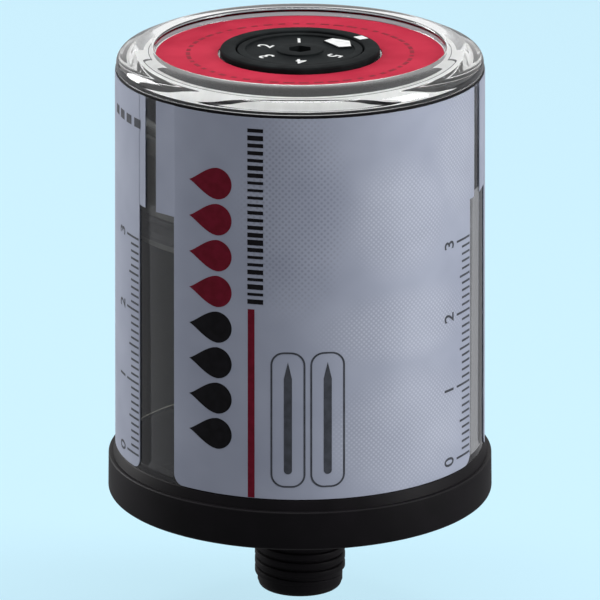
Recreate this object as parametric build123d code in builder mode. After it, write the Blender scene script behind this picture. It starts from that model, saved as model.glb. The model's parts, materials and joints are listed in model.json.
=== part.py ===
"""Single-point automatic lubricator, gas driven, with a G 1/4 outlet.

Millimetres, +Z up.  The origin lies on the centre line at the underside of the base,
where the outlet thread starts, and the middle of the front label faces -Y.
"""

import os

from build123d import *

os.makedirs("parts", exist_ok=True)

# ---- Driving dimensions ---------------------------------------------------------------

# Outlet stub with a G 1/4 thread, drawn plain at its major radius
THREAD_R = 6.5785
STUB_LENGTH = 14.0
STUB_LEAD = 0.6
OUTLET_R = 3.0

# Base
BASE_TAPER = 0.1
BASE_EDGE = 0.6
SKIRT_WALL = 0.85
SKIRT_LIP = 0.25
SEAT_Z = 2.2
FOOT_DEPTH = 3.4
CONE_LOW_Z = 2.4
SPIGOT_WALL = 2.15
SPIGOT_LEAD = 1.9
SEAL_GROOVE_RISE = 1.1
SEAL_GROOVE_H = 2.0
SEAL_GROOVE_DEPTH = 1.2
BOSS_WALL = 2.8215
POCKET_WALL = 1.9
POCKET_OUTER_DEPTH = 3.8
POCKET_RIM_WALL = 2.2
RIB_COUNT = 8
RIB_THICK = 1.4

# Container
BORE_R = 24.25
WALL_LOW = 2.0
WALL_TOP = 1.5
FOOT_STEP = 0.35
FLARE_RISE = 1.35
FLARE_RADIUS = 1.0
PLATE_THICK = 2.0
PLATE_FILLET = 0.8
RIM_SHOULDER_DROP = 0.05
RIM_SHOULDER_RADIUS = 1.6
RIM_CREST_INSET = 3.15
RIM_CREST_RISE = 1.35
RIM_CREST_RADIUS = 2.5
RIM_WIDTH = 5.3
RIM_INNER_RISE = 1.25
RIM_INNER_RADIUS = 0.4

# Wrap labels: angles from the middle of each label
LABEL_THICK = 0.13
LABEL_FOOT_GAP = 0.2
LABEL_TOP_DROP = 2.1
WINDOW_RISE = 6.0        # above the piston's lower edge
LABEL_CORNER = 1.6
FRONT_HALF_ANGLE = 59.2
SLIT_ANGLE = 5.5
LEFT_STEP_ANGLE = 8.0
RIGHT_STEP_ANGLE = 3.4

# Ring label on the top plate
TOP_LABEL_MARGIN = 0.25
TOP_LABEL_HOLE_GAP = 0.3

# Piston: its lower edge stands at zero on the label's scale when the charge is used up
PISTON_TRAVEL = 32.6
PISTON_SKIRT = 17.0
PISTON_CLEARANCE = 0.55
PISTON_WALL = 1.8
PISTON_NOSE_R = 3.0
PISTON_RIB_COUNT = 6
PISTON_RIB_THICK = 1.4
PISTON_RIB_RISE = 4.6
LIP_GROOVE_UP = 1.0
LIP_GROOVE_H = 3.5
LIP_GROOVE_DEPTH = 1.0
GUIDE_GROOVE_DOWN = 1.0
GUIDE_GROOVE_H = 3.0
GUIDE_GROOVE_DEPTH = 0.8
GENERATOR_CLEARANCE = 1.2    # from the piston's ribs to the gas generator above them

# Gas generator
FLANGE_LIP = 0.5
FLANGE_THICK = 0.9
FLANGE_EDGE = 0.25
SOCKET_WALL = 1.7
SOCKET_LENGTH = 12.0
BARREL_LENGTH = 17.05
BARREL_WALL = 1.4
FLANGE_SEAL_CORD = 1.1
DIAL_WELL_WALL = 0.5
DECK_DROP = 0.65
DECK_THICK = 1.5
STEM_BOSS_WALL = 2.1
STEM_BOSS_DROP = 2.3
BOARD_LEDGE = 0.7
BOARD_LEDGE_DROP = 4.9

# Dial
DIAL_TOP_DROP = 0.2
DIAL_RIM = 1.1
DIAL_DISH_DEPTH = 0.3
DIAL_HUB_R = 3.3
STEM_R = 2.5
STEM_STEP = 0.5
STEM_TIP_LENGTH = 2.0
HEX_FLATS = 3.0
HEX_DEPTH = 2.5
POINTER_ANGLE = 22.0
POINTER_WIDTH = 5.5
POINTER_BACK_WIDTH = 4.4
POINTER_HUB_GAP = 1.9
POINTER_RIM_GAP = 0.8
STEM_GROOVE_H = 1.1
STEM_GROOVE_DEPTH = 0.75
CLIP_WIDTH = 1.9
CLIP_THICK = 0.4
WIPER_THICK = 0.25
WIPER_HUB_WIDTH = 1.3
WIPER_ARM_WIDTH = 1.4
TRACK_INSET = 1.65
TRACK_SPACING = 1.4
CONTACT_R = 0.5
SWITCH_ANGLE = 300.0

# Circuit board and gas cell
BOARD_THICK = 1.0
PAD_COUNT = 12
PAD_LENGTH = 1.4
PAD_WIDTH = 1.2
PAD_THICK = 0.05
RESISTOR_OFFSET = 0.4        # outwards from the middle of the pads' track
RESISTOR_SIZE = (1.6, 0.8, 0.45)
CELL_R = 5.8
CELL_ROOM = 2.35             # round the cell, for its holder
CELL_HEIGHT = 5.4
CELL_EDGE = 0.5
CELL_CRIMP = 0.9
CELL_CRIMP_RADIUS = 0.4
CELL_GROOVE = 0.3
CELL_CAP_RISE = 0.6
CELL_SEAT = 0.6
CONTACT_SHEET = 0.2
SIDE_CONTACT_WIDTH = 1.6
HOLDER_WALL = 0.85
HOLDER_RIB_COUNT = 6
HOLDER_RIB_WIDTH = 1.8
COVER_THICK = 1.2
COVER_SPIGOT = 1.2
COVER_SPIGOT_WALL = 1.1
GAS_HOLE_R = 0.5
GAS_HOLE_RING_R = 2.8
GAS_HOLE_COUNT = 6
MEMBRANE_R = 4.4
MEMBRANE_THICK = 0.25

# Outlet plug
PLUG_LEDGE = 3.0
PLUG_HEAD = 1.0
PLUG_EDGE = 0.7
PLUG_STEM = 7.8
PLUG_TIP_RADIUS = 0.7
PLUG_DISH_R = 3.2
PLUG_DISH = 0.5

# Clearances
STATIC_GAP = 0.05      # between fixed pieces that are put into one another
LABEL_GAP = 0.04       # adhesive under the wrap labels
RUNNING_GAP = 0.07     # radial, piston seals, dial stem and plug
DIAL_GAP = 0.25        # round the dial in its well
AXIAL_GAP = 0.1        # under the dial and the plug's head
END_GAP = 0.2          # piston to spigot when the charge is used up
FLOOR_GAP = 0.5        # piston's cone to the base's cone there
SOFT_GAP = 0.3         # lubricant to moving pieces
WIPER_GAP = 0.3        # wiper's contacts to the board's pads

# ---- Levels and radii that follow from them ----------------------------------------------

WALL_LOW_R = BORE_R + WALL_LOW
WALL_TOP_R = BORE_R + WALL_TOP
FOOT_R = WALL_LOW_R + FOOT_STEP
SKIRT_BORE_R = FOOT_R + STATIC_GAP
BASE_R = SKIRT_BORE_R + SKIRT_WALL
RIM_CREST_R = WALL_TOP_R - RIM_CREST_INSET
RIM_INNER_R = WALL_TOP_R - RIM_WIDTH

SKIRT_TOP_Z = SEAT_Z + FOOT_DEPTH
SEAL_GROOVE_Z = SEAT_Z + SEAL_GROOVE_RISE
SPIGOT_TOP_Z = SEAL_GROOVE_Z + SEAL_GROOVE_H + SPIGOT_LEAD
SPIGOT_R = BORE_R - STATIC_GAP
CONE_TOP_R = SPIGOT_R - SPIGOT_WALL
CONE_SLOPE = (SPIGOT_TOP_Z - CONE_LOW_Z) / (CONE_TOP_R - OUTLET_R)
BOSS_R = THREAD_R + BOSS_WALL
POCKET_OUTER_R = SPIGOT_R - POCKET_RIM_WALL
FLARE_Z = SKIRT_TOP_Z + STATIC_GAP + FLARE_RISE

PISTON_LOW_Z = SPIGOT_TOP_Z + END_GAP + PISTON_TRAVEL
PISTON_TOP_Z = PISTON_LOW_Z + PISTON_SKIRT
PISTON_RIB_TOP_Z = PISTON_LOW_Z + PISTON_RIB_RISE
COVER_LOW_Z = PISTON_RIB_TOP_Z + GENERATOR_CLEARANCE
BARREL_LOW_Z = COVER_LOW_Z + COVER_THICK
PLATE_TOP_Z = BARREL_LOW_Z + BARREL_LENGTH
PLATE_UNDER_Z = PLATE_TOP_Z - PLATE_THICK
RIM_SHOULDER_Z = PLATE_TOP_Z - RIM_SHOULDER_DROP
PISTON_R = BORE_R - PISTON_CLEARANCE

LABEL_LOW_Z = FLARE_Z + LABEL_FOOT_GAP
LABEL_TOP_Z = RIM_SHOULDER_Z - LABEL_TOP_DROP
WINDOW_TOP_Z = PISTON_LOW_Z + WINDOW_RISE

CAVITY_R = CELL_R + CELL_ROOM
BARREL_R = CAVITY_R + BARREL_WALL
SOCKET_R = BARREL_R + STATIC_GAP
FLANGE_R = SOCKET_R + FLANGE_SEAL_CORD + FLANGE_LIP
TOP_LABEL_R = RIM_INNER_R - TOP_LABEL_MARGIN
TOP_LABEL_HOLE_R = FLANGE_R + TOP_LABEL_HOLE_GAP
FLANGE_TOP_Z = PLATE_TOP_Z + FLANGE_THICK
DIAL_WELL_R = BARREL_R - DIAL_WELL_WALL
STEM_BOSS_R = STEM_R + STEM_BOSS_WALL
DECK_TOP_Z = PLATE_TOP_Z - DECK_DROP
DECK_UNDER_Z = DECK_TOP_Z - DECK_THICK
STEM_BOSS_Z = DECK_UNDER_Z - STEM_BOSS_DROP
BOARD_TOP_Z = DECK_UNDER_Z - BOARD_LEDGE_DROP
BOARD_LOW_Z = BOARD_TOP_Z - BOARD_THICK
OUTER_TRACK_R = CAVITY_R - BOARD_LEDGE - TRACK_INSET
INNER_TRACK_R = OUTER_TRACK_R - TRACK_SPACING
RESISTOR_RING_R = OUTER_TRACK_R + RESISTOR_OFFSET

DIAL_R = DIAL_WELL_R - DIAL_GAP
DIAL_DISH_R = DIAL_R - DIAL_RIM
STEM_TIP_R = STEM_R - STEM_STEP
CLIP_R = STEM_TIP_R + CLIP_WIDTH
WIPER_HUB_R = STEM_TIP_R + WIPER_HUB_WIDTH
DIAL_UNDER_Z = DECK_TOP_Z + AXIAL_GAP
DIAL_TOP_Z = FLANGE_TOP_Z - DIAL_TOP_DROP
CLIP_TOP_Z = STEM_BOSS_Z - 2 * AXIAL_GAP
STEM_STEP_Z = CLIP_TOP_Z
STEM_LOW_Z = STEM_STEP_Z - STEM_TIP_LENGTH
STEM_GROOVE_Z = (STEM_BOSS_Z + DECK_UNDER_Z) / 2
PAD_TOP_Z = BOARD_TOP_Z + PAD_THICK
CONTACT_LOW_Z = PAD_TOP_Z + WIPER_GAP
WIPER_Z = CONTACT_LOW_Z + 3 * WIPER_THICK

COVER_SPIGOT_TOP_Z = BARREL_LOW_Z + COVER_SPIGOT
COVER_SPIGOT_R = CAVITY_R - STATIC_GAP
CELL_LOW_Z = BARREL_LOW_Z + CELL_SEAT
CELL_TOP_Z = CELL_LOW_Z + CELL_HEIGHT
CELL_CRIMP_Z = CELL_TOP_Z - CELL_GROOVE
CELL_CAP_R = CELL_R - CELL_CRIMP - CELL_GROOVE
HOLDER_R = CELL_R + STATIC_GAP

PLUG_HEAD_R = OUTLET_R + PLUG_LEDGE
PLUG_HEAD_TOP_Z = -STUB_LENGTH - AXIAL_GAP
PLUG_TOP_Z = PLUG_HEAD_TOP_Z + PLUG_STEM
PLUG_STEM_R = OUTLET_R - RUNNING_GAP


def wall_radius(z):
    """Outside of the container, which narrows upwards by its mould's draft."""
    share = (z - FLARE_Z) / (RIM_SHOULDER_Z - FLARE_Z)
    return WALL_LOW_R + (WALL_TOP_R - WALL_LOW_R) * share


def cone_z(r, lift=0.0):
    """Height of the base's conical floor at a radius, raised by lift."""
    return CONE_LOW_Z + (r - OUTLET_R) * CONE_SLOPE + lift


def export(part, name):
    part.label = name
    export_step(part, f"parts/{name}.step")


# ---- Base ------------------------------------------------------------------------------

# The cored pockets under the floor, with the ribs left standing between them
with BuildPart() as base_pockets:
    with BuildSketch(Plane.XZ):
        with BuildLine():
            Polyline(
                (BOSS_R, 0),
                (BOSS_R, cone_z(BOSS_R) - POCKET_WALL),
                (POCKET_OUTER_R, POCKET_OUTER_DEPTH),
                (POCKET_OUTER_R, 0),
                close=True,
            )
        make_face()
    revolve(axis=Axis.Z)
    with BuildSketch(Plane.XY):
        with PolarLocations((BOSS_R + POCKET_OUTER_R) / 2, RIB_COUNT):
            Rectangle(POCKET_OUTER_R - BOSS_R + RIB_THICK, RIB_THICK)
    extrude(amount=SKIRT_TOP_Z, mode=Mode.SUBTRACT)

with BuildPart() as base_cap:
    with BuildSketch(Plane.XZ):
        with BuildLine():
            FilletPolyline(
                (OUTLET_R, -STUB_LENGTH),
                (THREAD_R - STUB_LEAD, -STUB_LENGTH),
                (THREAD_R, -STUB_LENGTH + STUB_LEAD),
                (THREAD_R, 0),
                (BASE_R, 0),
                (BASE_R - BASE_TAPER, SKIRT_TOP_Z),
                (SKIRT_BORE_R, SKIRT_TOP_Z),
                (SKIRT_BORE_R, SEAT_Z),
                (SPIGOT_R, SEAT_Z),
                (SPIGOT_R, SEAL_GROOVE_Z),
                (SPIGOT_R - SEAL_GROOVE_DEPTH, SEAL_GROOVE_Z),
                (SPIGOT_R - SEAL_GROOVE_DEPTH, SEAL_GROOVE_Z + SEAL_GROOVE_H),
                (SPIGOT_R, SEAL_GROOVE_Z + SEAL_GROOVE_H),
                (SPIGOT_R, SPIGOT_TOP_Z),
                (CONE_TOP_R, SPIGOT_TOP_Z),
                (OUTLET_R, CONE_LOW_Z),
                radius=(0, 0, 0, 0, BASE_EDGE, SKIRT_LIP, 0, 0, 0, 0, 0, 0, 0, SKIRT_LIP, 0, 0),
                close=True,
            )
        make_face()
    revolve(axis=Axis.Z)
    add(base_pockets.part, mode=Mode.SUBTRACT)
export(base_cap.part, "base_cap")

with BuildPart() as base_seal:
    with BuildSketch(Plane.XZ):
        with Locations((BORE_R - SEAL_GROOVE_DEPTH / 2, SEAL_GROOVE_Z + SEAL_GROOVE_H / 2)):
            Circle(SEAL_GROOVE_DEPTH / 2)
    revolve(axis=Axis.Z)
export(base_seal.part, "base_seal")

with BuildPart() as outlet_plug:
    with BuildSketch(Plane.XZ):
        with BuildLine():
            FilletPolyline(
                (0, PLUG_HEAD_TOP_Z - PLUG_HEAD + PLUG_DISH),
                (PLUG_DISH_R, PLUG_HEAD_TOP_Z - PLUG_HEAD + PLUG_DISH),
                (PLUG_DISH_R + PLUG_DISH / 2, PLUG_HEAD_TOP_Z - PLUG_HEAD),
                (PLUG_HEAD_R, PLUG_HEAD_TOP_Z - PLUG_HEAD),
                (PLUG_HEAD_R, PLUG_HEAD_TOP_Z),
                (PLUG_STEM_R, PLUG_HEAD_TOP_Z),
                (PLUG_STEM_R, PLUG_TOP_Z),
                (0, PLUG_TOP_Z),
                radius=(0, 0, 0, PLUG_EDGE, 0, 0, PLUG_TIP_RADIUS, 0),
                close=True,
            )
        make_face()
    revolve(axis=Axis.Z)
export(outlet_plug.part, "outlet_plug")

# ---- Container -------------------------------------------------------------------------

with BuildPart() as housing:
    with BuildSketch(Plane.XZ):
        with BuildLine():
            FilletPolyline(
                (BORE_R, SEAT_Z),
                (FOOT_R, SEAT_Z),
                (FOOT_R, SKIRT_TOP_Z + STATIC_GAP),
                (wall_radius(FLARE_Z), FLARE_Z),
                (WALL_TOP_R, RIM_SHOULDER_Z),
                (RIM_CREST_R, PLATE_TOP_Z + RIM_CREST_RISE),
                (RIM_INNER_R, PLATE_TOP_Z + RIM_INNER_RISE),
                (RIM_INNER_R, PLATE_TOP_Z),
                (SOCKET_R + FLANGE_SEAL_CORD, PLATE_TOP_Z),
                (SOCKET_R + FLANGE_SEAL_CORD, PLATE_TOP_Z - FLANGE_SEAL_CORD),
                (SOCKET_R, PLATE_TOP_Z - FLANGE_SEAL_CORD),
                (SOCKET_R, PLATE_UNDER_Z - SOCKET_LENGTH),
                (SOCKET_R + SOCKET_WALL, PLATE_UNDER_Z - SOCKET_LENGTH),
                (SOCKET_R + SOCKET_WALL, PLATE_UNDER_Z),
                (BORE_R, PLATE_UNDER_Z),
                radius=(
                    0, 0, 0, FLARE_RADIUS, RIM_SHOULDER_RADIUS, RIM_CREST_RADIUS, RIM_INNER_RADIUS,
                    0, 0, 0, 0, 0, 0, PLATE_FILLET, PLATE_FILLET,
                ),
                close=True,
            )
        make_face()
    revolve(axis=Axis.Z)
export(housing.part, "housing")


def label_sector(low_z, top_z, left, right):
    """Adds one curved field of a wrap label to the part being built."""
    with BuildSketch(Plane.XZ.rotated((0, 0, left))) as section:
        with BuildLine():
            Polyline(
                (wall_radius(low_z) + LABEL_GAP, low_z),
                (wall_radius(low_z) + LABEL_GAP + LABEL_THICK, low_z),
                (wall_radius(top_z) + LABEL_GAP + LABEL_THICK, top_z),
                (wall_radius(top_z) + LABEL_GAP, top_z),
                close=True,
            )
        make_face()
    revolve(section.sketch, axis=Axis.Z, revolution_arc=right - left)


def round_corner(angle, into):
    """Rounds a lower corner of a wrap label; into is 1 where the label lies to its right."""
    outward = Vector(1, 0, 0).rotate(Axis.Z, angle)
    along = Vector(0, 1, 0).rotate(Axis.Z, angle)
    corner = outward * wall_radius(LABEL_LOW_Z) + Vector(0, 0, LABEL_LOW_Z)
    with BuildSketch(Plane(corner, x_dir=along * into, z_dir=outward * into)) as spandrel:
        Rectangle(2 * LABEL_CORNER, 2 * LABEL_CORNER)
        with Locations((LABEL_CORNER, LABEL_CORNER)):
            Circle(LABEL_CORNER, mode=Mode.SUBTRACT)
            for across, along_edge in ((Align.MIN, Align.CENTER), (Align.CENTER, Align.MIN)):
                Rectangle(
                    2 * LABEL_CORNER, 2 * LABEL_CORNER, align=(across, along_edge), mode=Mode.SUBTRACT
                )
    extrude(spandrel.sketch, amount=4 * LABEL_THICK, both=True, mode=Mode.SUBTRACT)


def wrap_label(name, middle, half_angle):
    """A label whose lower part is set in at both sides, which leaves the level windows."""
    left = middle - half_angle
    right = middle + half_angle
    with BuildPart() as label:
        label_sector(WINDOW_TOP_Z, LABEL_TOP_Z, left, right)
        label_sector(LABEL_LOW_Z, WINDOW_TOP_Z, left + LEFT_STEP_ANGLE, right - RIGHT_STEP_ANGLE)
        round_corner(left + LEFT_STEP_ANGLE, 1)
        round_corner(right - RIGHT_STEP_ANGLE, -1)
    export(label.part, name)


wrap_label("label_front", -90, FRONT_HALF_ANGLE)
wrap_label("label_rear", 90, 180 - SLIT_ANGLE - FRONT_HALF_ANGLE)

with BuildPart() as top_label:
    with BuildSketch(Plane.XY.offset(PLATE_TOP_Z)):
        Circle(TOP_LABEL_R)
        Circle(TOP_LABEL_HOLE_R, mode=Mode.SUBTRACT)
    extrude(amount=LABEL_THICK)
export(top_label.part, "top_label")

# ---- Piston and charge -------------------------------------------------------------------

PISTON_LIFT = PISTON_TRAVEL + FLOOR_GAP
LIP_GROOVE_Z = PISTON_LOW_Z + LIP_GROOVE_UP
GUIDE_GROOVE_TOP_Z = PISTON_TOP_Z - GUIDE_GROOVE_DOWN
GUIDE_GROOVE_Z = GUIDE_GROOVE_TOP_Z - GUIDE_GROOVE_H
SKIRT_R = PISTON_R - PISTON_WALL

with BuildPart() as piston:
    with BuildSketch(Plane.XZ):
        with BuildLine():
            Polyline(
                (0, cone_z(PISTON_NOSE_R, PISTON_LIFT)),
                (PISTON_NOSE_R, cone_z(PISTON_NOSE_R, PISTON_LIFT)),
                (SKIRT_R, cone_z(SKIRT_R, PISTON_LIFT)),
                (SKIRT_R, PISTON_LOW_Z),
                (PISTON_R, PISTON_LOW_Z),
                (PISTON_R, LIP_GROOVE_Z),
                (PISTON_R - LIP_GROOVE_DEPTH, LIP_GROOVE_Z),
                (PISTON_R - LIP_GROOVE_DEPTH, LIP_GROOVE_Z + LIP_GROOVE_H),
                (PISTON_R, LIP_GROOVE_Z + LIP_GROOVE_H),
                (PISTON_R, GUIDE_GROOVE_Z),
                (PISTON_R - GUIDE_GROOVE_DEPTH, GUIDE_GROOVE_Z),
                (PISTON_R - GUIDE_GROOVE_DEPTH, GUIDE_GROOVE_TOP_Z),
                (PISTON_R, GUIDE_GROOVE_TOP_Z),
                (PISTON_R, PISTON_TOP_Z),
                (SKIRT_R, PISTON_TOP_Z),
                (SKIRT_R, cone_z(SKIRT_R, PISTON_LIFT + PISTON_WALL)),
                (PISTON_NOSE_R, cone_z(PISTON_NOSE_R, PISTON_LIFT + PISTON_WALL)),
                (0, cone_z(PISTON_NOSE_R, PISTON_LIFT + PISTON_WALL)),
                close=True,
            )
        make_face()
    revolve(axis=Axis.Z)
    for rib in range(PISTON_RIB_COUNT):
        with BuildSketch(Plane.XZ.rotated((0, 0, rib * 360 / PISTON_RIB_COUNT))):
            with BuildLine():
                Polyline(
                    (0, cone_z(PISTON_NOSE_R, PISTON_LIFT + PISTON_WALL / 2)),
                    (PISTON_NOSE_R, cone_z(PISTON_NOSE_R, PISTON_LIFT + PISTON_WALL / 2)),
                    (SKIRT_R + PISTON_WALL / 4, cone_z(SKIRT_R, PISTON_LIFT + PISTON_WALL / 2)),
                    (SKIRT_R + PISTON_WALL / 4, PISTON_RIB_TOP_Z),
                    (0, PISTON_RIB_TOP_Z),
                    close=True,
                )
            make_face()
        extrude(amount=PISTON_RIB_THICK / 2, both=True)
export(piston.part, "piston")

SEAL_R = BORE_R - RUNNING_GAP

with BuildPart() as piston_lip_seal:
    back_r = PISTON_R - LIP_GROOVE_DEPTH + STATIC_GAP
    low_z = LIP_GROOVE_Z + STATIC_GAP
    top_z = LIP_GROOVE_Z + LIP_GROOVE_H - STATIC_GAP
    lip = (top_z - low_z) / 6
    waist_r = PISTON_R + STATIC_GAP
    with BuildSketch(Plane.XZ):
        with BuildLine():
            Polyline(
                (back_r, low_z),
                (SEAL_R, low_z),
                (SEAL_R, low_z + lip),
                (waist_r, low_z + 2 * lip),
                (waist_r, top_z - 2 * lip),
                (SEAL_R, top_z - lip),
                (SEAL_R, top_z),
                (back_r, top_z),
                close=True,
            )
        make_face()
    revolve(axis=Axis.Z)
export(piston_lip_seal.part, "piston_lip_seal")

with BuildPart() as piston_guide_ring:
    with BuildSketch(Plane.XZ):
        with BuildLine():
            FilletPolyline(
                (PISTON_R - GUIDE_GROOVE_DEPTH + STATIC_GAP, GUIDE_GROOVE_Z + STATIC_GAP),
                (SEAL_R, GUIDE_GROOVE_Z + STATIC_GAP),
                (SEAL_R, GUIDE_GROOVE_TOP_Z - STATIC_GAP),
                (PISTON_R - GUIDE_GROOVE_DEPTH + STATIC_GAP, GUIDE_GROOVE_TOP_Z - STATIC_GAP),
                radius=(0, GUIDE_GROOVE_DEPTH / 2, GUIDE_GROOVE_DEPTH / 2, 0),
                close=True,
            )
        make_face()
    revolve(axis=Axis.Z)
export(piston_guide_ring.part, "piston_guide_ring")

with BuildPart() as lubricant:
    charge_top = PISTON_LIFT - SOFT_GAP
    with BuildSketch(Plane.XZ):
        with BuildLine():
            Polyline(
                (0, PLUG_TOP_Z + SOFT_GAP),
                (OUTLET_R - STATIC_GAP, PLUG_TOP_Z + SOFT_GAP),
                (OUTLET_R - STATIC_GAP, cone_z(OUTLET_R, STATIC_GAP)),
                (CONE_TOP_R, SPIGOT_TOP_Z + STATIC_GAP),
                (BORE_R - STATIC_GAP, SPIGOT_TOP_Z + STATIC_GAP),
                (BORE_R - STATIC_GAP, PISTON_LOW_Z - SOFT_GAP),
                (SKIRT_R, PISTON_LOW_Z - SOFT_GAP),
                (SKIRT_R - SOFT_GAP, cone_z(SKIRT_R - SOFT_GAP, charge_top)),
                (PISTON_NOSE_R, cone_z(PISTON_NOSE_R, charge_top)),
                (0, cone_z(PISTON_NOSE_R, charge_top)),
                close=True,
            )
        make_face()
    revolve(axis=Axis.Z)
export(lubricant.part, "lubricant")

# ---- Gas generator -----------------------------------------------------------------------

STEM_BORE_R = STEM_R + RUNNING_GAP

with BuildPart() as generator_body:
    with BuildSketch(Plane.XZ):
        with BuildLine():
            FilletPolyline(
                (STEM_BORE_R, STEM_BOSS_Z),
                (STEM_BOSS_R, STEM_BOSS_Z),
                (STEM_BOSS_R, DECK_UNDER_Z),
                (CAVITY_R - BOARD_LEDGE, DECK_UNDER_Z),
                (CAVITY_R - BOARD_LEDGE, BOARD_TOP_Z),
                (CAVITY_R, BOARD_TOP_Z),
                (CAVITY_R, BARREL_LOW_Z),
                (BARREL_R, BARREL_LOW_Z),
                (BARREL_R, PLATE_TOP_Z),
                (FLANGE_R, PLATE_TOP_Z),
                (FLANGE_R, FLANGE_TOP_Z),
                (DIAL_WELL_R, FLANGE_TOP_Z),
                (DIAL_WELL_R, DECK_TOP_Z),
                (STEM_BORE_R, DECK_TOP_Z),
                radius=(0, 0, 0, 0, 0, 0, 0, 0, 0, 0, FLANGE_EDGE, 0, 0, 0),
                close=True,
            )
        make_face()
    revolve(axis=Axis.Z)
export(generator_body.part, "generator_body")

with BuildPart() as generator_seal:
    with BuildSketch(Plane.XZ):
        with Locations((SOCKET_R + FLANGE_SEAL_CORD / 2, PLATE_TOP_Z - FLANGE_SEAL_CORD / 2)):
            Circle(FLANGE_SEAL_CORD / 2 - STATIC_GAP / 2)
    revolve(axis=Axis.Z)
export(generator_seal.part, "generator_seal")

with BuildPart() as dial:
    with BuildSketch(Plane.XZ):
        with BuildLine():
            Polyline(
                (0, STEM_LOW_Z),
                (STEM_TIP_R, STEM_LOW_Z),
                (STEM_TIP_R, STEM_STEP_Z),
                (STEM_R, STEM_STEP_Z),
                (STEM_R, STEM_GROOVE_Z - STEM_GROOVE_H / 2),
                (STEM_R - STEM_GROOVE_DEPTH, STEM_GROOVE_Z - STEM_GROOVE_H / 2),
                (STEM_R - STEM_GROOVE_DEPTH, STEM_GROOVE_Z + STEM_GROOVE_H / 2),
                (STEM_R, STEM_GROOVE_Z + STEM_GROOVE_H / 2),
                (STEM_R, DIAL_UNDER_Z),
                (DIAL_R, DIAL_UNDER_Z),
                (DIAL_R, DIAL_TOP_Z),
                (DIAL_DISH_R, DIAL_TOP_Z),
                (DIAL_DISH_R, DIAL_TOP_Z - DIAL_DISH_DEPTH),
                (DIAL_HUB_R, DIAL_TOP_Z - DIAL_DISH_DEPTH),
                (DIAL_HUB_R, DIAL_TOP_Z),
                (0, DIAL_TOP_Z),
                close=True,
            )
        make_face()
    revolve(axis=Axis.Z)
    with BuildSketch(Plane.XY.offset(DIAL_TOP_Z).rotated((0, 0, POINTER_ANGLE))):
        with BuildLine():
            Polyline(
                (DIAL_HUB_R + POINTER_HUB_GAP, -POINTER_BACK_WIDTH / 2),
                (DIAL_DISH_R - POINTER_RIM_GAP, -POINTER_WIDTH / 2),
                ((DIAL_DISH_R + DIAL_R) / 2, 0),
                (DIAL_DISH_R - POINTER_RIM_GAP, POINTER_WIDTH / 2),
                (DIAL_HUB_R + POINTER_HUB_GAP, POINTER_BACK_WIDTH / 2),
                close=True,
            )
        make_face()
    extrude(amount=-DIAL_DISH_DEPTH)
    with BuildSketch(Plane.XY.offset(DIAL_TOP_Z)):
        RegularPolygon(radius=HEX_FLATS / 2, side_count=6, major_radius=False)
    extrude(amount=-HEX_DEPTH, mode=Mode.SUBTRACT)
export(dial.part, "dial")

with BuildPart() as dial_seal:
    seal_cord = (STEM_GROOVE_DEPTH + RUNNING_GAP) / 2
    with BuildSketch(Plane.XZ):
        with Locations((STEM_R - STEM_GROOVE_DEPTH + seal_cord, STEM_GROOVE_Z)):
            Circle(seal_cord - RUNNING_GAP / 4)
    revolve(axis=Axis.Z)
export(dial_seal.part, "dial_seal")

with BuildPart() as dial_clip:
    with BuildSketch(Plane.XY.offset(CLIP_TOP_Z - CLIP_THICK)):
        Circle(CLIP_R)
        Circle(STEM_TIP_R + STATIC_GAP / 2, mode=Mode.SUBTRACT)
    extrude(amount=CLIP_THICK)
export(dial_clip.part, "dial_clip")

with BuildPart() as wiper:
    with BuildSketch(Plane.XY.offset(WIPER_Z).rotated((0, 0, POINTER_ANGLE))):
        Circle(WIPER_HUB_R)
        with Locations((OUTER_TRACK_R / 2, 0), (-INNER_TRACK_R / 2, 0)):
            Rectangle(OUTER_TRACK_R, WIPER_ARM_WIDTH)
        Circle(STEM_TIP_R + STATIC_GAP / 2, mode=Mode.SUBTRACT)
    extrude(amount=WIPER_THICK)
    with BuildSketch(Plane.XY.offset(CONTACT_LOW_Z).rotated((0, 0, POINTER_ANGLE))):
        with Locations((OUTER_TRACK_R, 0), (-INNER_TRACK_R, 0)):
            Circle(CONTACT_R)
    extrude(amount=WIPER_Z - CONTACT_LOW_Z + WIPER_THICK)
export(wiper.part, "wiper")

with BuildPart() as circuit_board:
    with BuildSketch(Plane.XY.offset(BOARD_LOW_Z)):
        Circle(CAVITY_R - STATIC_GAP)
    extrude(amount=BOARD_THICK)
export(circuit_board.part, "circuit_board")

# One pad for each setting of the dial, and the common ring inside them
with BuildPart() as contact_pads:
    with BuildSketch(Plane.XY.offset(BOARD_TOP_Z).rotated((0, 0, POINTER_ANGLE))):
        Circle(INNER_TRACK_R + CONTACT_R)
        Circle(INNER_TRACK_R - CONTACT_R, mode=Mode.SUBTRACT)
        with PolarLocations(OUTER_TRACK_R + CONTACT_R / 2, PAD_COUNT, 0, SWITCH_ANGLE):
            Rectangle(PAD_LENGTH, PAD_WIDTH)
    extrude(amount=PAD_THICK)
export(contact_pads.part, "contact_pads")

with BuildPart() as resistors:
    with BuildSketch(Plane.XY.offset(BOARD_LOW_Z).rotated((0, 0, POINTER_ANGLE))):
        with PolarLocations(RESISTOR_RING_R, PAD_COUNT, 0, SWITCH_ANGLE):
            Rectangle(RESISTOR_SIZE[1], RESISTOR_SIZE[0])
    extrude(amount=-RESISTOR_SIZE[2])
export(resistors.part, "resistors")

# ---- Gas cell and its holder ---------------------------------------------------------------

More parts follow.
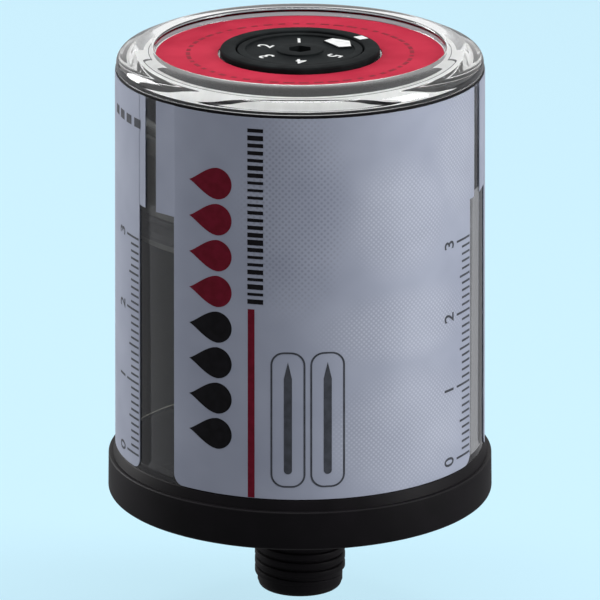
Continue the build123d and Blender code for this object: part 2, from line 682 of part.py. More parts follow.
with BuildPart() as gas_cell:
    with BuildSketch(Plane.XZ):
        with BuildLine():
            FilletPolyline(
                (0, CELL_LOW_Z),
                (CELL_R, CELL_LOW_Z),
                (CELL_R, CELL_CRIMP_Z),
                (CELL_CAP_R + CELL_GROOVE, CELL_CRIMP_Z),
                (CELL_CAP_R + CELL_GROOVE, CELL_TOP_Z - CELL_CAP_RISE),
                (CELL_CAP_R, CELL_TOP_Z - CELL_CAP_RISE),
                (CELL_CAP_R, CELL_TOP_Z),
                (0, CELL_TOP_Z),
                radius=(0, CELL_EDGE, CELL_CRIMP_RADIUS, 0, 0, 0, CELL_CRIMP_RADIUS, 0),
                close=True,
            )
        make_face()
    revolve(axis=Axis.Z)
export(gas_cell.part, "gas_cell")

# A dished spring disc from the board down to the cell's cap
with BuildPart() as cell_contact:
    rim_r = CELL_CAP_R - CONTACT_SHEET
    pad_r = rim_r / 3
    low_z = CELL_TOP_Z
    with BuildSketch(Plane.XZ):
        with BuildLine():
            Polyline(
                (rim_r, BOARD_LOW_Z),
                (rim_r, BOARD_LOW_Z - CONTACT_SHEET),
                (rim_r - 3 * CONTACT_SHEET, BOARD_LOW_Z - CONTACT_SHEET),
                (pad_r, low_z),
                (CONTACT_SHEET, low_z),
                (CONTACT_SHEET, low_z + CONTACT_SHEET),
                (pad_r - CONTACT_SHEET / 2, low_z + CONTACT_SHEET),
                (rim_r - 4 * CONTACT_SHEET, BOARD_LOW_Z),
                close=True,
            )
        make_face()
    revolve(axis=Axis.Z)
export(cell_contact.part, "cell_contact")

SIDE_CONTACT_ANGLE = POINTER_ANGLE - 180 / HOLDER_RIB_COUNT

with BuildPart() as side_contact:
    with BuildSketch(Plane.XY.offset(CELL_LOW_Z + COVER_SPIGOT).rotated((0, 0, SIDE_CONTACT_ANGLE))):
        with Locations((CELL_R + STATIC_GAP + CONTACT_SHEET / 2, 0)):
            Rectangle(CONTACT_SHEET, SIDE_CONTACT_WIDTH)
    extrude(amount=BOARD_LOW_Z - CELL_LOW_Z - COVER_SPIGOT)
export(side_contact.part, "side_contact")

with BuildPart() as cell_holder:
    with BuildSketch(Plane.XY.offset(COVER_SPIGOT_TOP_Z)):
        Circle(HOLDER_R + HOLDER_WALL)
        Circle(HOLDER_R, mode=Mode.SUBTRACT)
    extrude(amount=CELL_TOP_Z - COVER_SPIGOT_TOP_Z)
    with BuildSketch(Plane.XY.offset(COVER_SPIGOT_TOP_Z).rotated((0, 0, POINTER_ANGLE))):
        rib_length = COVER_SPIGOT_R - HOLDER_R - HOLDER_WALL / 2
        with PolarLocations(COVER_SPIGOT_R - rib_length / 2, HOLDER_RIB_COUNT):
            Rectangle(rib_length, HOLDER_RIB_WIDTH)
    extrude(amount=BOARD_LOW_Z - RESISTOR_SIZE[2] - STATIC_GAP - COVER_SPIGOT_TOP_Z)
    with BuildSketch(Plane.XY.offset(COVER_SPIGOT_TOP_Z).rotated((0, 0, SIDE_CONTACT_ANGLE))):
        with Locations((HOLDER_R + HOLDER_WALL / 2, 0)):
            Rectangle(2 * HOLDER_WALL, SIDE_CONTACT_WIDTH + 2 * STATIC_GAP)
    extrude(amount=BOARD_LOW_Z - COVER_SPIGOT_TOP_Z, mode=Mode.SUBTRACT)
export(cell_holder.part, "cell_holder")

with BuildPart() as gas_membrane:
    with BuildSketch(Plane.XY.offset(BARREL_LOW_Z)):
        Circle(MEMBRANE_R)
    extrude(amount=MEMBRANE_THICK)
export(gas_membrane.part, "gas_membrane")

with BuildPart() as generator_cover:
    with BuildSketch(Plane.XY.offset(COVER_LOW_Z)):
        Circle(BARREL_R)
    extrude(amount=COVER_THICK)
    with BuildSketch(Plane.XY.offset(BARREL_LOW_Z)):
        Circle(COVER_SPIGOT_R)
        Circle(COVER_SPIGOT_R - COVER_SPIGOT_WALL, mode=Mode.SUBTRACT)
    extrude(amount=COVER_SPIGOT)
    with BuildSketch(Plane.XY.offset(BARREL_LOW_Z)):
        Circle(CELL_R - 2 * CONTACT_SHEET)
        Circle(MEMBRANE_R + STATIC_GAP, mode=Mode.SUBTRACT)
    extrude(amount=CELL_SEAT)
    with BuildSketch(Plane.XY.offset(COVER_LOW_Z)):
        Circle(GAS_HOLE_R)
        with PolarLocations(GAS_HOLE_RING_R, GAS_HOLE_COUNT):
            Circle(GAS_HOLE_R)
    extrude(amount=COVER_THICK, mode=Mode.SUBTRACT)
    lower_edges = generator_cover.edges().group_by(Axis.Z)[0]
    fillet(lower_edges.sort_by(SortBy.RADIUS)[-1], radius=COVER_THICK / 3)
export(generator_cover.part, "generator_cover")
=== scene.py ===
"""Looks of a gas-driven single-point automatic lubricator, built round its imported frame.

Profiles are written in millimetres as (radius, height) and turned to metres in the mesh.
Prints are drawn flat, as millimetres along the wall and up, and wrapped round it afterwards.
"""

import json
from math import acos, cos, degrees, pi, radians, sin, tan

import bmesh
import bpy
from mathutils import Matrix, Vector


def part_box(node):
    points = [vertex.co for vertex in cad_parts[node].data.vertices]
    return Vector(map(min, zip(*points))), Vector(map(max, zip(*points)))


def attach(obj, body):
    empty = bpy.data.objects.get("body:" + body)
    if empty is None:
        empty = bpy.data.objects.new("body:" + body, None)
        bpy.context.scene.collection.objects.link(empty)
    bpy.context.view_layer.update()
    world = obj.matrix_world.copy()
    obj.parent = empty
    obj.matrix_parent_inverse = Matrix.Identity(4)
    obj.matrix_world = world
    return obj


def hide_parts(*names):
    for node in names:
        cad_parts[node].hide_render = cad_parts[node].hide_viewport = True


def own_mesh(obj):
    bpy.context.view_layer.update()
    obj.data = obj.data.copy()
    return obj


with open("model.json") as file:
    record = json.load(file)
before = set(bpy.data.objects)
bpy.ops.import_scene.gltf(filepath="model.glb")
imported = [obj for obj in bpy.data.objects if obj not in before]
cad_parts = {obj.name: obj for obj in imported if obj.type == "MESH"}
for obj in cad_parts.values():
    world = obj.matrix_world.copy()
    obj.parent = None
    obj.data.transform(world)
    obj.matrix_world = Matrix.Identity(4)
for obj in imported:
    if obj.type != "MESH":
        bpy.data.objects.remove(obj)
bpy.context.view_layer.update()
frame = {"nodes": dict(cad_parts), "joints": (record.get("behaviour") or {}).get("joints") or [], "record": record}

MM = 0.001


def extent(node):
    """A node's lowest and highest z and its reach along x, in millimetres."""
    low, high = (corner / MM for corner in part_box(node))
    return low.z, high.z, high.x


# ---- Sizes taken from the frame ----

outlet_mount = next(m for m in frame["record"]["mounts"] if m["name"] == "outlet_thread")
THREAD_R = outlet_mount["dims"]["r_mm"]
SEAT_Z, _, FOOT_R = extent("housing")
STUB_LOW_Z, SPIGOT_TOP_Z, _ = extent("base_cap")
PLATE_TOP_Z, TOP_LABEL_Z, TOP_LABEL_R = extent("top_label")
BARREL_LOW_Z, FLANGE_TOP_Z, FLANGE_R = extent("generator_body")
_, DIAL_TOP_Z, DIAL_R = extent("dial")
LABEL_LOW_Z, LABEL_TOP_Z, _ = extent("label_front")
PISTON_NOSE_Z, PISTON_TOP_Z, PISTON_R = extent("piston")
LIP_LOW_Z, LIP_TOP_Z, SEAL_R = extent("piston_lip_seal")
GUIDE_LOW_Z, GUIDE_TOP_Z, _ = extent("piston_guide_ring")
CHARGE_LOW_Z, CHARGE_TOP_Z, CHARGE_R = extent("lubricant")
PLUG_LOW_Z, PLUG_TOP_Z, PLUG_HEAD_R = extent("outlet_plug")
STROKE = frame["joints"][0]["range_m"][1] / MM

# ---- Sizes that the frame's boxes don't give ----

SEAT_GAP = 0.05            # between pieces that seat in one another
OUTLET_R = 3.0
CONE_LOW_Z = 2.4
CONE_TOP_R = 22.05
BASE_R = 27.5
BASE_TAPER = 0.1
SKIRT_TOP_Z = 5.6
BORE_R = 24.25
WALL_LOW_R = 26.25
WALL_TOP_R = 25.75
FLARE_Z = 7.0
PLATE_LOW_Z = PLATE_TOP_Z - 2.0
LABEL_BACK = 0.05          # back of the label film above the container's wall
LABEL_FACE = 0.17          # and its printed face
WINDOW_TOP_Z = 46.0
FRONT, REAR = -90, 90      # angles of the labels' middles
FRONT_HALF_ANGLE = 59.2
SLIT_ANGLE = 5.5
REAR_HALF_ANGLE = 180 - SLIT_ANGLE - FRONT_HALF_ANGLE
LEFT_STEP_ANGLE = 8.0
RIGHT_STEP_ANGLE = 3.4
LABEL_CORNER = 1.6
STUB_LEAD = 0.6
THREAD_PITCH = 1.337
THREAD_DEPTH = 0.45        # moulded with broad crests and shallow grooves
SCALE_ZERO_Z = 9.1
SCALE_STEP = 1.06
POINTER_ANGLE = 22.0
ROUND_STEPS = 256
INK_THICK = 0.012
WELD = 1e-7                # metres within which points are one

# ---- Helpers ----


def linear(hex_colour, alpha=1.0):
    """sRGB hex to the linear colour that a shader takes."""
    channels = [int(hex_colour[i:i + 2], 16) / 255 for i in (0, 2, 4)]
    return [c / 12.92 if c <= 0.04045 else ((c + 0.055) / 1.055) ** 2.4 for c in channels] + [alpha]


def add_node(tree, kind, settings=None, **links):
    """Adds a node, sets its attributes, and fills inputs with values or other nodes' sockets."""
    node = tree.nodes.new(kind)
    for name, value in (settings or {}).items():
        setattr(node, name, value)
    for key, value in links.items():
        name = key.strip("_").replace("_", " ")
        socket = node.inputs[int(name)] if name.isdigit() else next(
            s for s in node.inputs if s.name.lower() == name.lower())
        if isinstance(value, bpy.types.NodeSocket):
            tree.links.new(value, socket)
        else:
            socket.default_value = value
    return node


def calc(tree, operation, first, second):
    """The result of one sum on two values or sockets."""
    node = add_node(tree, "ShaderNodeMath", {"operation": operation}, _0=first, _1=second)
    return node.outputs[0]


def xyz(tree, **parts):
    """A vector from the parts that are given."""
    return add_node(tree, "ShaderNodeCombineXYZ", **parts).outputs[0]


def moved(tree, geometry, **how):
    """A geometry after a translation or a rotation."""
    return add_node(tree, "GeometryNodeTransform", Geometry=geometry, **how).outputs[0]


def rounded_path(corners, steps=6):
    """Points of a path whose corners (r, z) or (r, z, radius) are rounded by arcs."""
    points = []
    count = len(corners)
    for i, corner in enumerate(corners):
        here = Vector(corner[:2])
        radius = corner[2] if len(corner) > 2 else 0
        if not radius:
            points.append(here)
            continue
        back = (Vector(corners[i - 1][:2]) - here).normalized()
        ahead = (Vector(corners[(i + 1) % count][:2]) - here).normalized()
        half = acos(max(-1, min(1, back.dot(ahead)))) / 2
        centre = here + (back + ahead).normalized() * (radius / sin(half))
        start = here + back * (radius / tan(half)) - centre
        end = here + ahead * (radius / tan(half)) - centre
        turn = start.angle_signed(end)
        for step in range(steps + 1):
            points.append(centre + Matrix.Rotation(-turn * step / steps, 2) @ start)
    return points


def finish_mesh(obj, material, smooth_angle=30):
    """Welds, points the faces outwards, sets the finish and shades by angle."""
    mesh = bmesh.new()
    mesh.from_mesh(obj.data)
    bmesh.ops.remove_doubles(mesh, verts=mesh.verts, dist=WELD)
    bmesh.ops.recalc_face_normals(mesh, faces=mesh.faces)
    mesh.to_mesh(obj.data)
    mesh.free()
    obj.data.materials.clear()
    obj.data.materials.append(material)
    obj.data.shade_smooth()
    obj.data.set_sharp_from_angle(angle=radians(smooth_angle))
    return obj


def new_object(name, mesh_data):
    obj = bpy.data.objects.new(name, mesh_data)
    bpy.context.scene.collection.objects.link(obj)
    return obj


def object_from(name, mesh):
    """A new object from an edit mesh, which is freed."""
    data = bpy.data.meshes.new(name)
    mesh.to_mesh(data)
    mesh.free()
    return new_object(name, data)


def turned(name, corners, material, segments=ROUND_STEPS, steps=6):
    """A solid of revolution from a closed (radius, height) profile in millimetres."""
    mesh = bmesh.new()
    points = rounded_path(corners, steps)
    ring = [mesh.verts.new((p.x * MM, 0, p.y * MM)) for p in points]
    pairs = zip(ring, ring[1:] + ring[:1])
    edges = [mesh.edges.new(p) for p in pairs if p[0].co.x > 1e-9 or p[1].co.x > 1e-9]
    bmesh.ops.spin(mesh, geom=ring + edges, cent=(0, 0, 0), axis=(0, 0, 1),
                   angle=2 * pi, steps=segments, use_merge=True)
    bmesh.ops.remove_doubles(mesh, verts=mesh.verts, dist=WELD)
    return finish_mesh(object_from(name, mesh), material)


def applied(obj):
    """Turns an object's modifiers into a plain mesh."""
    graph = bpy.context.evaluated_depsgraph_get()
    data = bpy.data.meshes.new_from_object(obj.evaluated_get(graph))
    obj.modifiers.clear()
    obj.data = data
    return obj


def carve(obj, cutter):
    """Cuts one solid out of another."""
    modifier = obj.modifiers.new("carve", "BOOLEAN")
    modifier.operation = "DIFFERENCE"
    modifier.solver = "EXACT"
    modifier.object = cutter
    applied(obj)
    bpy.data.objects.remove(cutter)


def stiffened(obj, thickness_mm, material):
    """Gives a sheet its thickness on its front side."""
    wall = obj.modifiers.new("wall", "SOLIDIFY")
    wall.thickness = thickness_mm * MM
    wall.offset = 1.0
    return finish_mesh(applied(obj), material)


def add_plates(obj, outline, thickness, count):
    """Adds ribs that stand on radii: one (radius, height) outline, repeated round the axis."""
    mesh = bmesh.new()
    mesh.from_mesh(obj.data)
    for i in range(count):
        turn = Matrix.Rotation(radians(360 * i / count), 4, "Z")
        sides = [[mesh.verts.new(turn @ Vector((r, side * thickness / 2, z)) * MM)
                  for r, z in outline] for side in (-1, 1)]
        mesh.faces.new(sides[0])
        mesh.faces.new(reversed(sides[1]))
        for j in range(len(outline)):
            mesh.faces.new([sides[0][j - 1], sides[1][j - 1], sides[1][j], sides[0][j]])
    mesh.to_mesh(obj.data)
    mesh.free()
    finish_mesh(obj, obj.data.materials[0])


def new_tree(name, inputs):
    """A Geometry Nodes tree with named inputs, and the sockets that its group input gives."""
    tree = bpy.data.node_groups.new(name, "GeometryNodeTree")
    for label, kind in inputs.items():
        tree.interface.new_socket(label, in_out="INPUT", socket_type="NodeSocket" + kind)
    tree.interface.new_socket("Geometry", in_out="OUTPUT", socket_type="NodeSocketGeometry")
    return tree, tree.nodes.new("NodeGroupInput").outputs


def close_tree(tree, geometry, material):
    """Ends a tree: instances made real, material set, result handed out."""
    real = add_node(tree, "GeometryNodeRealizeInstances", Geometry=geometry)
    painted = add_node(tree, "GeometryNodeSetMaterial", Geometry=real.outputs[0], Material=material)
    tree.links.new(painted.outputs[0], tree.nodes.new("NodeGroupOutput").inputs[0])


def grown(name, tree, values):
    """Runs a tree with its named inputs filled in and keeps the result as a plain mesh."""
    obj = new_object(name, bpy.data.meshes.new(name))
    modifier = obj.modifiers.new("growth", "NODES")
    modifier.node_group = tree
    for item in tree.interface.items_tree:
        if item.in_out == "INPUT":
            modifier[item.identifier] = values[item.name]
    return applied(obj)


def wall_radius(z):
    """Outside of the container, which narrows upwards."""
    return WALL_LOW_R + (WALL_TOP_R - WALL_LOW_R) * (z - FLARE_Z) / (PLATE_TOP_Z - FLARE_Z)


def cone_z(r, lift=0.0):
    slope = (SPIGOT_TOP_Z - CONE_LOW_Z) / (CONE_TOP_R - OUTLET_R)
    return CONE_LOW_Z + (r - OUTLET_R) * slope + lift


# ---- Finishes ----


def finish(name, **principled):
    material = bpy.data.materials.new(name)
    material.use_nodes = True
    tree = material.node_tree
    shader = tree.nodes["Principled BSDF"]
    for key, value in principled.items():
        shader.inputs[key.replace("_", " ")].default_value = value
    return material, tree, shader


def noise(tree, size_mm, detail):
    """Noise in the object's own space, its waves a size in millimetres apart."""
    place = add_node(tree, "ShaderNodeTexCoord")
    return add_node(tree, "ShaderNodeTexNoise", Vector=place.outputs["Object"],
                    Scale=1 / (size_mm * MM), Detail=detail).outputs["Fac"]


def add_bump(tree, shader, heights, strength, height_mm):
    bump = add_node(tree, "ShaderNodeBump", Strength=strength, Distance=height_mm * MM,
                    Height=heights)
    tree.links.new(bump.outputs["Normal"], shader.inputs["Normal"])


def add_grain(tree, shader, size_mm, height_mm, detail=3.0):
    """Fine grain or slow waves as bump."""
    add_bump(tree, shader, noise(tree, size_mm, detail), 1.0, height_mm)


def shades(tree, amount, *stops):
    """The colour that an amount picks between two stops, each (position, hex)."""
    ramp = add_node(tree, "ShaderNodeValToRGB", Fac=amount)
    for element, (position, hex_colour) in zip(ramp.color_ramp.elements, stops):
        element.position = position
        element.color = linear(hex_colour)
    return ramp.outputs["Color"]


def moulded(name, low_hex, high_hex, mottle_mm, grain=None, **principled):
    """A plain stuff that changes slowly between two close shades; grain is (size, height) in mm."""
    material, tree, shader = finish(name, **principled)
    colour = shades(tree, noise(tree, mottle_mm, 2.0), (0.35, low_hex), (0.65, high_hex))
    tree.links.new(colour, shader.inputs["Base Color"])
    if grain:
        add_grain(tree, shader, *grain)
    return material


def clear_polyamide():
    """Clear moulded polyamide: polished, with faint flow waves that bend what shows through."""
    material, tree, shader = finish("clear_polyamide", Base_Color=linear("F2F4F5"), Roughness=0.02,
                                    IOR=1.53, Transmission_Weight=1.0)
    add_grain(tree, shader, size_mm=9.0, height_mm=0.02, detail=1.0)
    return material


def blended(tree, amount, none, full):
    """Goes from one colour to another as an amount goes from 0 to 1."""
    mix = add_node(tree, "ShaderNodeMix", {"data_type": "RGBA"}, _0=amount, _6=none, _7=full)
    return mix.outputs[2]


def crossed_lines(tree, flat, pitch_mm):
    """Two sets of slanting lines, 1 where they cross."""
    waves = []
    for turn in (45, -45):
        slanted = add_node(tree, "ShaderNodeMapping", Vector=flat, Rotation=(0, 0, radians(turn)))
        # at scale 1 a wave repeats every 2 pi / 20 of a unit
        wave = add_node(tree, "ShaderNodeTexWave", {"wave_type": "BANDS", "bands_direction": "X"},
                        Vector=slanted.outputs["Vector"], Scale=2 * pi / 20 / pitch_mm)
        waves.append(wave.outputs["Fac"])
    return calc(tree, "MULTIPLY", *waves)


def soft_field(tree, flat, middle, half_size):
    """A patch of the print's plane: 1 in its middle, fading to 0 past its edge."""
    placed = add_node(tree, "ShaderNodeMapping", {"vector_type": "TEXTURE"}, Vector=flat,
                      Location=(*middle, 0), Scale=(*half_size, 1))
    away = add_node(tree, "ShaderNodeVectorMath", {"operation": "LENGTH"},
                    _0=placed.outputs["Vector"])
    fade = add_node(tree, "ShaderNodeMapRange", {"interpolation_type": "SMOOTHSTEP"},
                    Value=away.outputs["Value"], From_Min=0.55, From_Max=1.2,
                    To_Min=1.0, To_Max=0.0)
    return fade.outputs["Result"]


def patterned(tree, flat, below, hex_colour, pitch_mm, strength, patches):
    """Adds one tone of crossed lines inside soft patches to the colour below."""
    fields = [soft_field(tree, flat, middle, half_size) for middle, half_size in patches]
    area = fields[0]
    for field in fields[1:]:
        area = calc(tree, "MAXIMUM", area, field)
    amount = calc(tree, "MULTIPLY", crossed_lines(tree, flat, pitch_mm), area)
    amount = calc(tree, "MULTIPLY", amount, strength)
    return blended(tree, amount, below, linear(hex_colour))


def silver_film():
    """Polyester film printed silver: satin, with soft fields of dark dots and of light ones."""
    material, tree, shader = finish("silver_film", Roughness=0.45, Metallic=0.15, IOR=1.5,
                                    Specular_IOR_Level=0.35)
    flat = add_node(tree, "ShaderNodeUVMap", {"uv_map": "film_mm"}).outputs["UV"]
    cloud = add_node(tree, "ShaderNodeTexNoise", Vector=flat, Scale=1 / 9, Detail=2.0)
    silver = shades(tree, cloud.outputs["Fac"], (0.3, "A2A9BB"), (0.7, "AEB5C6"))
    dotted = patterned(tree, flat, silver, "7E8190", 0.62, 0.6, [((-5.0, 49.0), (7.5, 15.0))])
    colour = patterned(tree, flat, dotted, "DDE1EA", 0.5, 0.55,
                       [((10.5, 46.5), (8.5, 8.5)), ((11.0, 31.0), (12.5, 5.5)),
                        ((11.5, 16.0), (12.0, 9.5)), ((22.5, 54.0), (6.5, 9.5))])
    tree.links.new(colour, shader.inputs["Base Color"])
    add_grain(tree, shader, size_mm=2.5, height_mm=0.003, detail=2.0)
    return material


def lubricant_charge():
    """Clear olive oil that wets the wall.

    Its solid stays a hair clear of the wall, so it bends light hardly at all: at an oil's own
    index that hair of air would show as a mirror.
    """
    material, tree, shader = finish("lubricant_charge", Base_Color=linear("C9C6B4"), Roughness=0.0,
                                    IOR=1.03, Transmission_Weight=1.0)
    add_grain(tree, shader, size_mm=8.0, height_mm=0.02, detail=1.0)
    return material


def metal(name, hex_colour, roughness, brushed_mm):
    """Stamped or drawn strip metal with fine rolling lines."""
    material, tree, shader = finish(name, Base_Color=linear(hex_colour), Metallic=1.0,
                                    Roughness=roughness)
    place = add_node(tree, "ShaderNodeTexCoord")
    squeeze = 12
    stretched = add_node(tree, "ShaderNodeMapping", Vector=place.outputs["Object"],
                         Scale=(1, squeeze, 1))
    lines = add_node(tree, "ShaderNodeTexNoise", Vector=stretched.outputs["Vector"],
                     Scale=1 / (brushed_mm * MM * squeeze), Detail=2.0)
    add_bump(tree, shader, lines.outputs["Fac"], 0.5, 0.004)
    return material


def coat(name, low_hex, high_hex, roughness=0.45, sheen=0.3):
    """A thin even coat, such as screen-printed ink with the slight mottle of its mesh."""
    return moulded(name, low_hex, high_hex, 1.2, Roughness=roughness, IOR=1.5,
                   Specular_IOR_Level=sheen)


def polypropylene():
    """Grey moulded polypropylene, waxy satin."""
    return moulded("piston_plastic", "60605C", "6C6C68", 5.0, (0.4, 0.008), Roughness=0.45,
                   IOR=1.49)


CLEAR = clear_polyamide()
# black moulded polyamide: fine spark-eroded grain keeps it matt, with little sheen
BLACK = moulded("black_polyamide", "0E0D0F", "141215", 6.0, (0.25, 0.006), Roughness=0.5,
                IOR=1.53, Specular_IOR_Level=0.08)
# black moulded dial plastic, a little greyer than the base
DIAL = moulded("dial_polyamide", "191B1C", "222526", 3.0, (0.3, 0.01), Roughness=0.42,
               IOR=1.53, Specular_IOR_Level=0.004)
SILVER = silver_film()
# polyester film printed red under a dull varnish
RED = moulded("red_film", "B02A40", "C0344A", 7.0, (0.8, 0.006, 2.0), Roughness=0.5,
              IOR=1.5, Specular_IOR_Level=0.01)
PISTON = polypropylene()
# moulded nitrile rubber: dull, with a faint bloom
SEAL = moulded("nitrile_rubber", "1D1D1F", "262628", 2.0, (0.2, 0.008), Roughness=0.62, IOR=1.52)
GUIDE = polypropylene()
CHARGE = lubricant_charge()
# acrylic adhesive of a film; dull white for a ring painted in as the shoulder's highlight; black soft polyethylene
ADHESIVE = coat("clear_adhesive", "77787B", "858689", 0.7, 0.1)
PAINTED_HIGHLIGHT_RING = coat("painted_highlight_white", "EDEDEB", "F4F4F2", 0.7, 0.1)
PLUG = coat("plug_polyethylene", "0E0D0F", "141315", 0.5, 0.12)
# screen-printed inks
WHITE_INK = coat("white_ink", "DADCDC", "EEEFEE", 0.4)
BLACK_INK = coat("black_ink", "0F0E11", "17161A", sheen=0.1)
RED_INK = coat("dark_red_ink", "6C0E22", "7A142B", sheen=0.12)
FAINT_INK = coat("faint_red_ink", "7E1A2A", "8A2032", sheen=0.03)
GREY_INK = coat("grey_ink", "3A3D44", "474B53")
# bright spring steel, the cell's nickel plate, rolled brass
STEEL = metal("spring_steel", "B9BBBE", 0.3, 0.4)
CELL_STEEL = metal("nickel_plate", "CCCDCF", 0.22, 0.6)
BRASS = metal("contact_brass", "CDAE68", 0.28, 0.4)

# glass-fibre laminate under green solder mask
LAMINATE = moulded("board_laminate", "285436", "32623F", 1.0, (0.3, 0.01), Roughness=0.35, IOR=1.52)
# white porous fluoropolymer film, soft and dull
POROUS = moulded("porous_film", "DEDEDB", "EAEAE8", 0.8, Roughness=0.8, IOR=1.38)
# dark glass glaze over a ceramic chip
GLAZE = moulded("chip_glaze", "202022", "2C2C2F", 0.6, Roughness=0.25, IOR=1.5)

CAD_FINISHES = {
    "base_seal": SEAL, "generator_seal": SEAL, "dial_seal": SEAL, "dial_clip": STEEL,
    "wiper": BRASS, "circuit_board": LAMINATE, "contact_pads": BRASS, "resistors": GLAZE,
    "gas_cell": CELL_STEEL, "cell_contact": STEEL, "side_contact": STEEL, "cell_holder": PISTON,
    "gas_membrane": POROUS, "generator_cover": BLACK,
}
for node, material in CAD_FINISHES.items():
    materials = frame["nodes"][node].data.materials
    materials.clear()
    materials.append(material)

# ---- Container and base ----

CROWN_R, CROWN_Z = 22.6, PLATE_TOP_Z + 1.35
RECESS_R, RECESS_EDGE_Z = TOP_LABEL_R + 0.25, PLATE_TOP_Z + 1.25
LAND_R = 10.7              # the flange's seal lies on this land
LAND_Z = PLATE_TOP_Z - 1.1
HOLE_R = 9.6
SOCKET_R = 11.3            # the drive's socket, under the plate
SOCKET_LOW_Z = PLATE_LOW_Z - 12.0
housing = turned("container_shell", [
    (BORE_R, SEAT_Z, 0.2),
    (FOOT_R, SEAT_Z, 0.2),
    (FOOT_R, SKIRT_TOP_Z + SEAT_GAP, 0.3),
    (wall_radius(FLARE_Z), FLARE_Z, 1.0),
    (WALL_TOP_R, PLATE_TOP_Z - 0.05, 1.6),
    (CROWN_R, CROWN_Z, 2.5),
    (RECESS_R, RECESS_EDGE_Z, 0.4),
    (RECESS_R, PLATE_TOP_Z, 0.15),
    (LAND_R, PLATE_TOP_Z),
    (LAND_R, LAND_Z),
    (HOLE_R, LAND_Z),
    (HOLE_R, SOCKET_LOW_Z),
    (SOCKET_R, SOCKET_LOW_Z),
    (SOCKET_R, PLATE_LOW_Z, 0.8),
    (BORE_R, PLATE_LOW_Z, 0.3),
], CLEAR, steps=10)
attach(housing, "container")
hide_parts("housing")

ROOT_R = THREAD_R - THREAD_DEPTH
POCKET_R = 9.4
POCKET_RIM_R = 22.0
POCKET_RIM_Z = 3.8
POCKET_INNER_Z = cone_z(POCKET_R) - 1.9
SPIGOT_R = BORE_R - SEAT_GAP
GROOVE_R = SPIGOT_R - 1.2
GROOVE_LOW_Z = 3.3
GROOVE_TOP_Z = 5.3
base = turned("base", [
    (OUTLET_R, STUB_LOW_Z, 0.2),
    (THREAD_R - STUB_LEAD, STUB_LOW_Z, 0.1),
    (ROOT_R, STUB_LOW_Z + THREAD_R - STUB_LEAD - ROOT_R),
    (ROOT_R, 0, 0.3),
    (POCKET_R, 0, 0.2),
    (POCKET_R, POCKET_INNER_Z, 0.5),
    (POCKET_RIM_R, POCKET_RIM_Z, 0.8),
    (POCKET_RIM_R, 0, 0.2),
    (BASE_R, 0, 0.6),
    (BASE_R - BASE_TAPER, SKIRT_TOP_Z, 0.25),
    (FOOT_R + SEAT_GAP, SKIRT_TOP_Z, 0.15),
    (FOOT_R + SEAT_GAP, SEAT_Z),
    (SPIGOT_R, SEAT_Z),
    (SPIGOT_R, GROOVE_LOW_Z),
    (GROOVE_R, GROOVE_LOW_Z),
    (GROOVE_R, GROOVE_TOP_Z),
    (SPIGOT_R, GROOVE_TOP_Z),
    (SPIGOT_R, SPIGOT_TOP_Z, 0.25),
    (CONE_TOP_R, SPIGOT_TOP_Z, 0.25),
    (OUTLET_R, CONE_LOW_Z, 0.3),
], BLACK)
RIB_THICK = 1.4
RIB_SINK = 0.3             # how far a rib reaches into the walls that it joins
add_plates(base, [
    (POCKET_R - RIB_SINK, 0.05),
    (POCKET_RIM_R + RIB_SINK, 0.05),
    (POCKET_RIM_R + RIB_SINK, POCKET_RIM_Z + 0.1),
    (POCKET_R - RIB_SINK, POCKET_INNER_Z + 0.1),
], RIB_THICK, count=8)
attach(base, "container")
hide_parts("base_cap")

# black melt pressed up from the weld, round the container's foot as far as the labels
weld_flash = turned("weld_flash", [
    (FOOT_R + 0.02, SKIRT_TOP_Z - 0.02),
    (FOOT_R + 0.2, SKIRT_TOP_Z - 0.02),
    (WALL_LOW_R + 0.12, FLARE_Z + 0.12, 0.3),
    (WALL_LOW_R + 0.02, FLARE_Z + 0.12),
], BLACK)
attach(weld_flash, "container")

# ---- Labels ----


def wrapped(arc_mm, lift_mm, z_mm, middle_deg):
    """A place on the container's wall: along it, out from it and up, round a middle angle."""
    radius = wall_radius(z_mm) + lift_mm
    angle = radians(middle_deg) + arc_mm / WALL_TOP_R
    return Vector((radius * cos(angle), radius * sin(angle), z_mm)) * MM


def label_edges(half_angle):
    """Angles and lower heights along a label, with its steps and rounded corners."""
    left, right = -half_angle + LEFT_STEP_ANGLE, half_angle - RIGHT_STEP_ANGLE
    stations = [(-half_angle, WINDOW_TOP_Z), (left, WINDOW_TOP_Z)]
    corner_angle = degrees(LABEL_CORNER / WALL_LOW_R)
    for step in range(9):
        a = radians(90 * step / 8)
        stations.append((left + corner_angle * (1 - cos(a)),
                         LABEL_LOW_Z + LABEL_CORNER * (1 - sin(a))))
    straight = right - left - 2 * corner_angle
    fields = int(straight / 1.5)
    for step in range(1, fields):
        stations.append((left + corner_angle + straight * step / fields, LABEL_LOW_Z))
    for step in range(9):
        a = radians(90 * (1 - step / 8))
        stations.append((right - corner_angle * (1 - cos(a)),
                         LABEL_LOW_Z + LABEL_CORNER * (1 - sin(a))))
    stations += [(right, WINDOW_TOP_Z), (half_angle, WINDOW_TOP_Z)]
    return stations


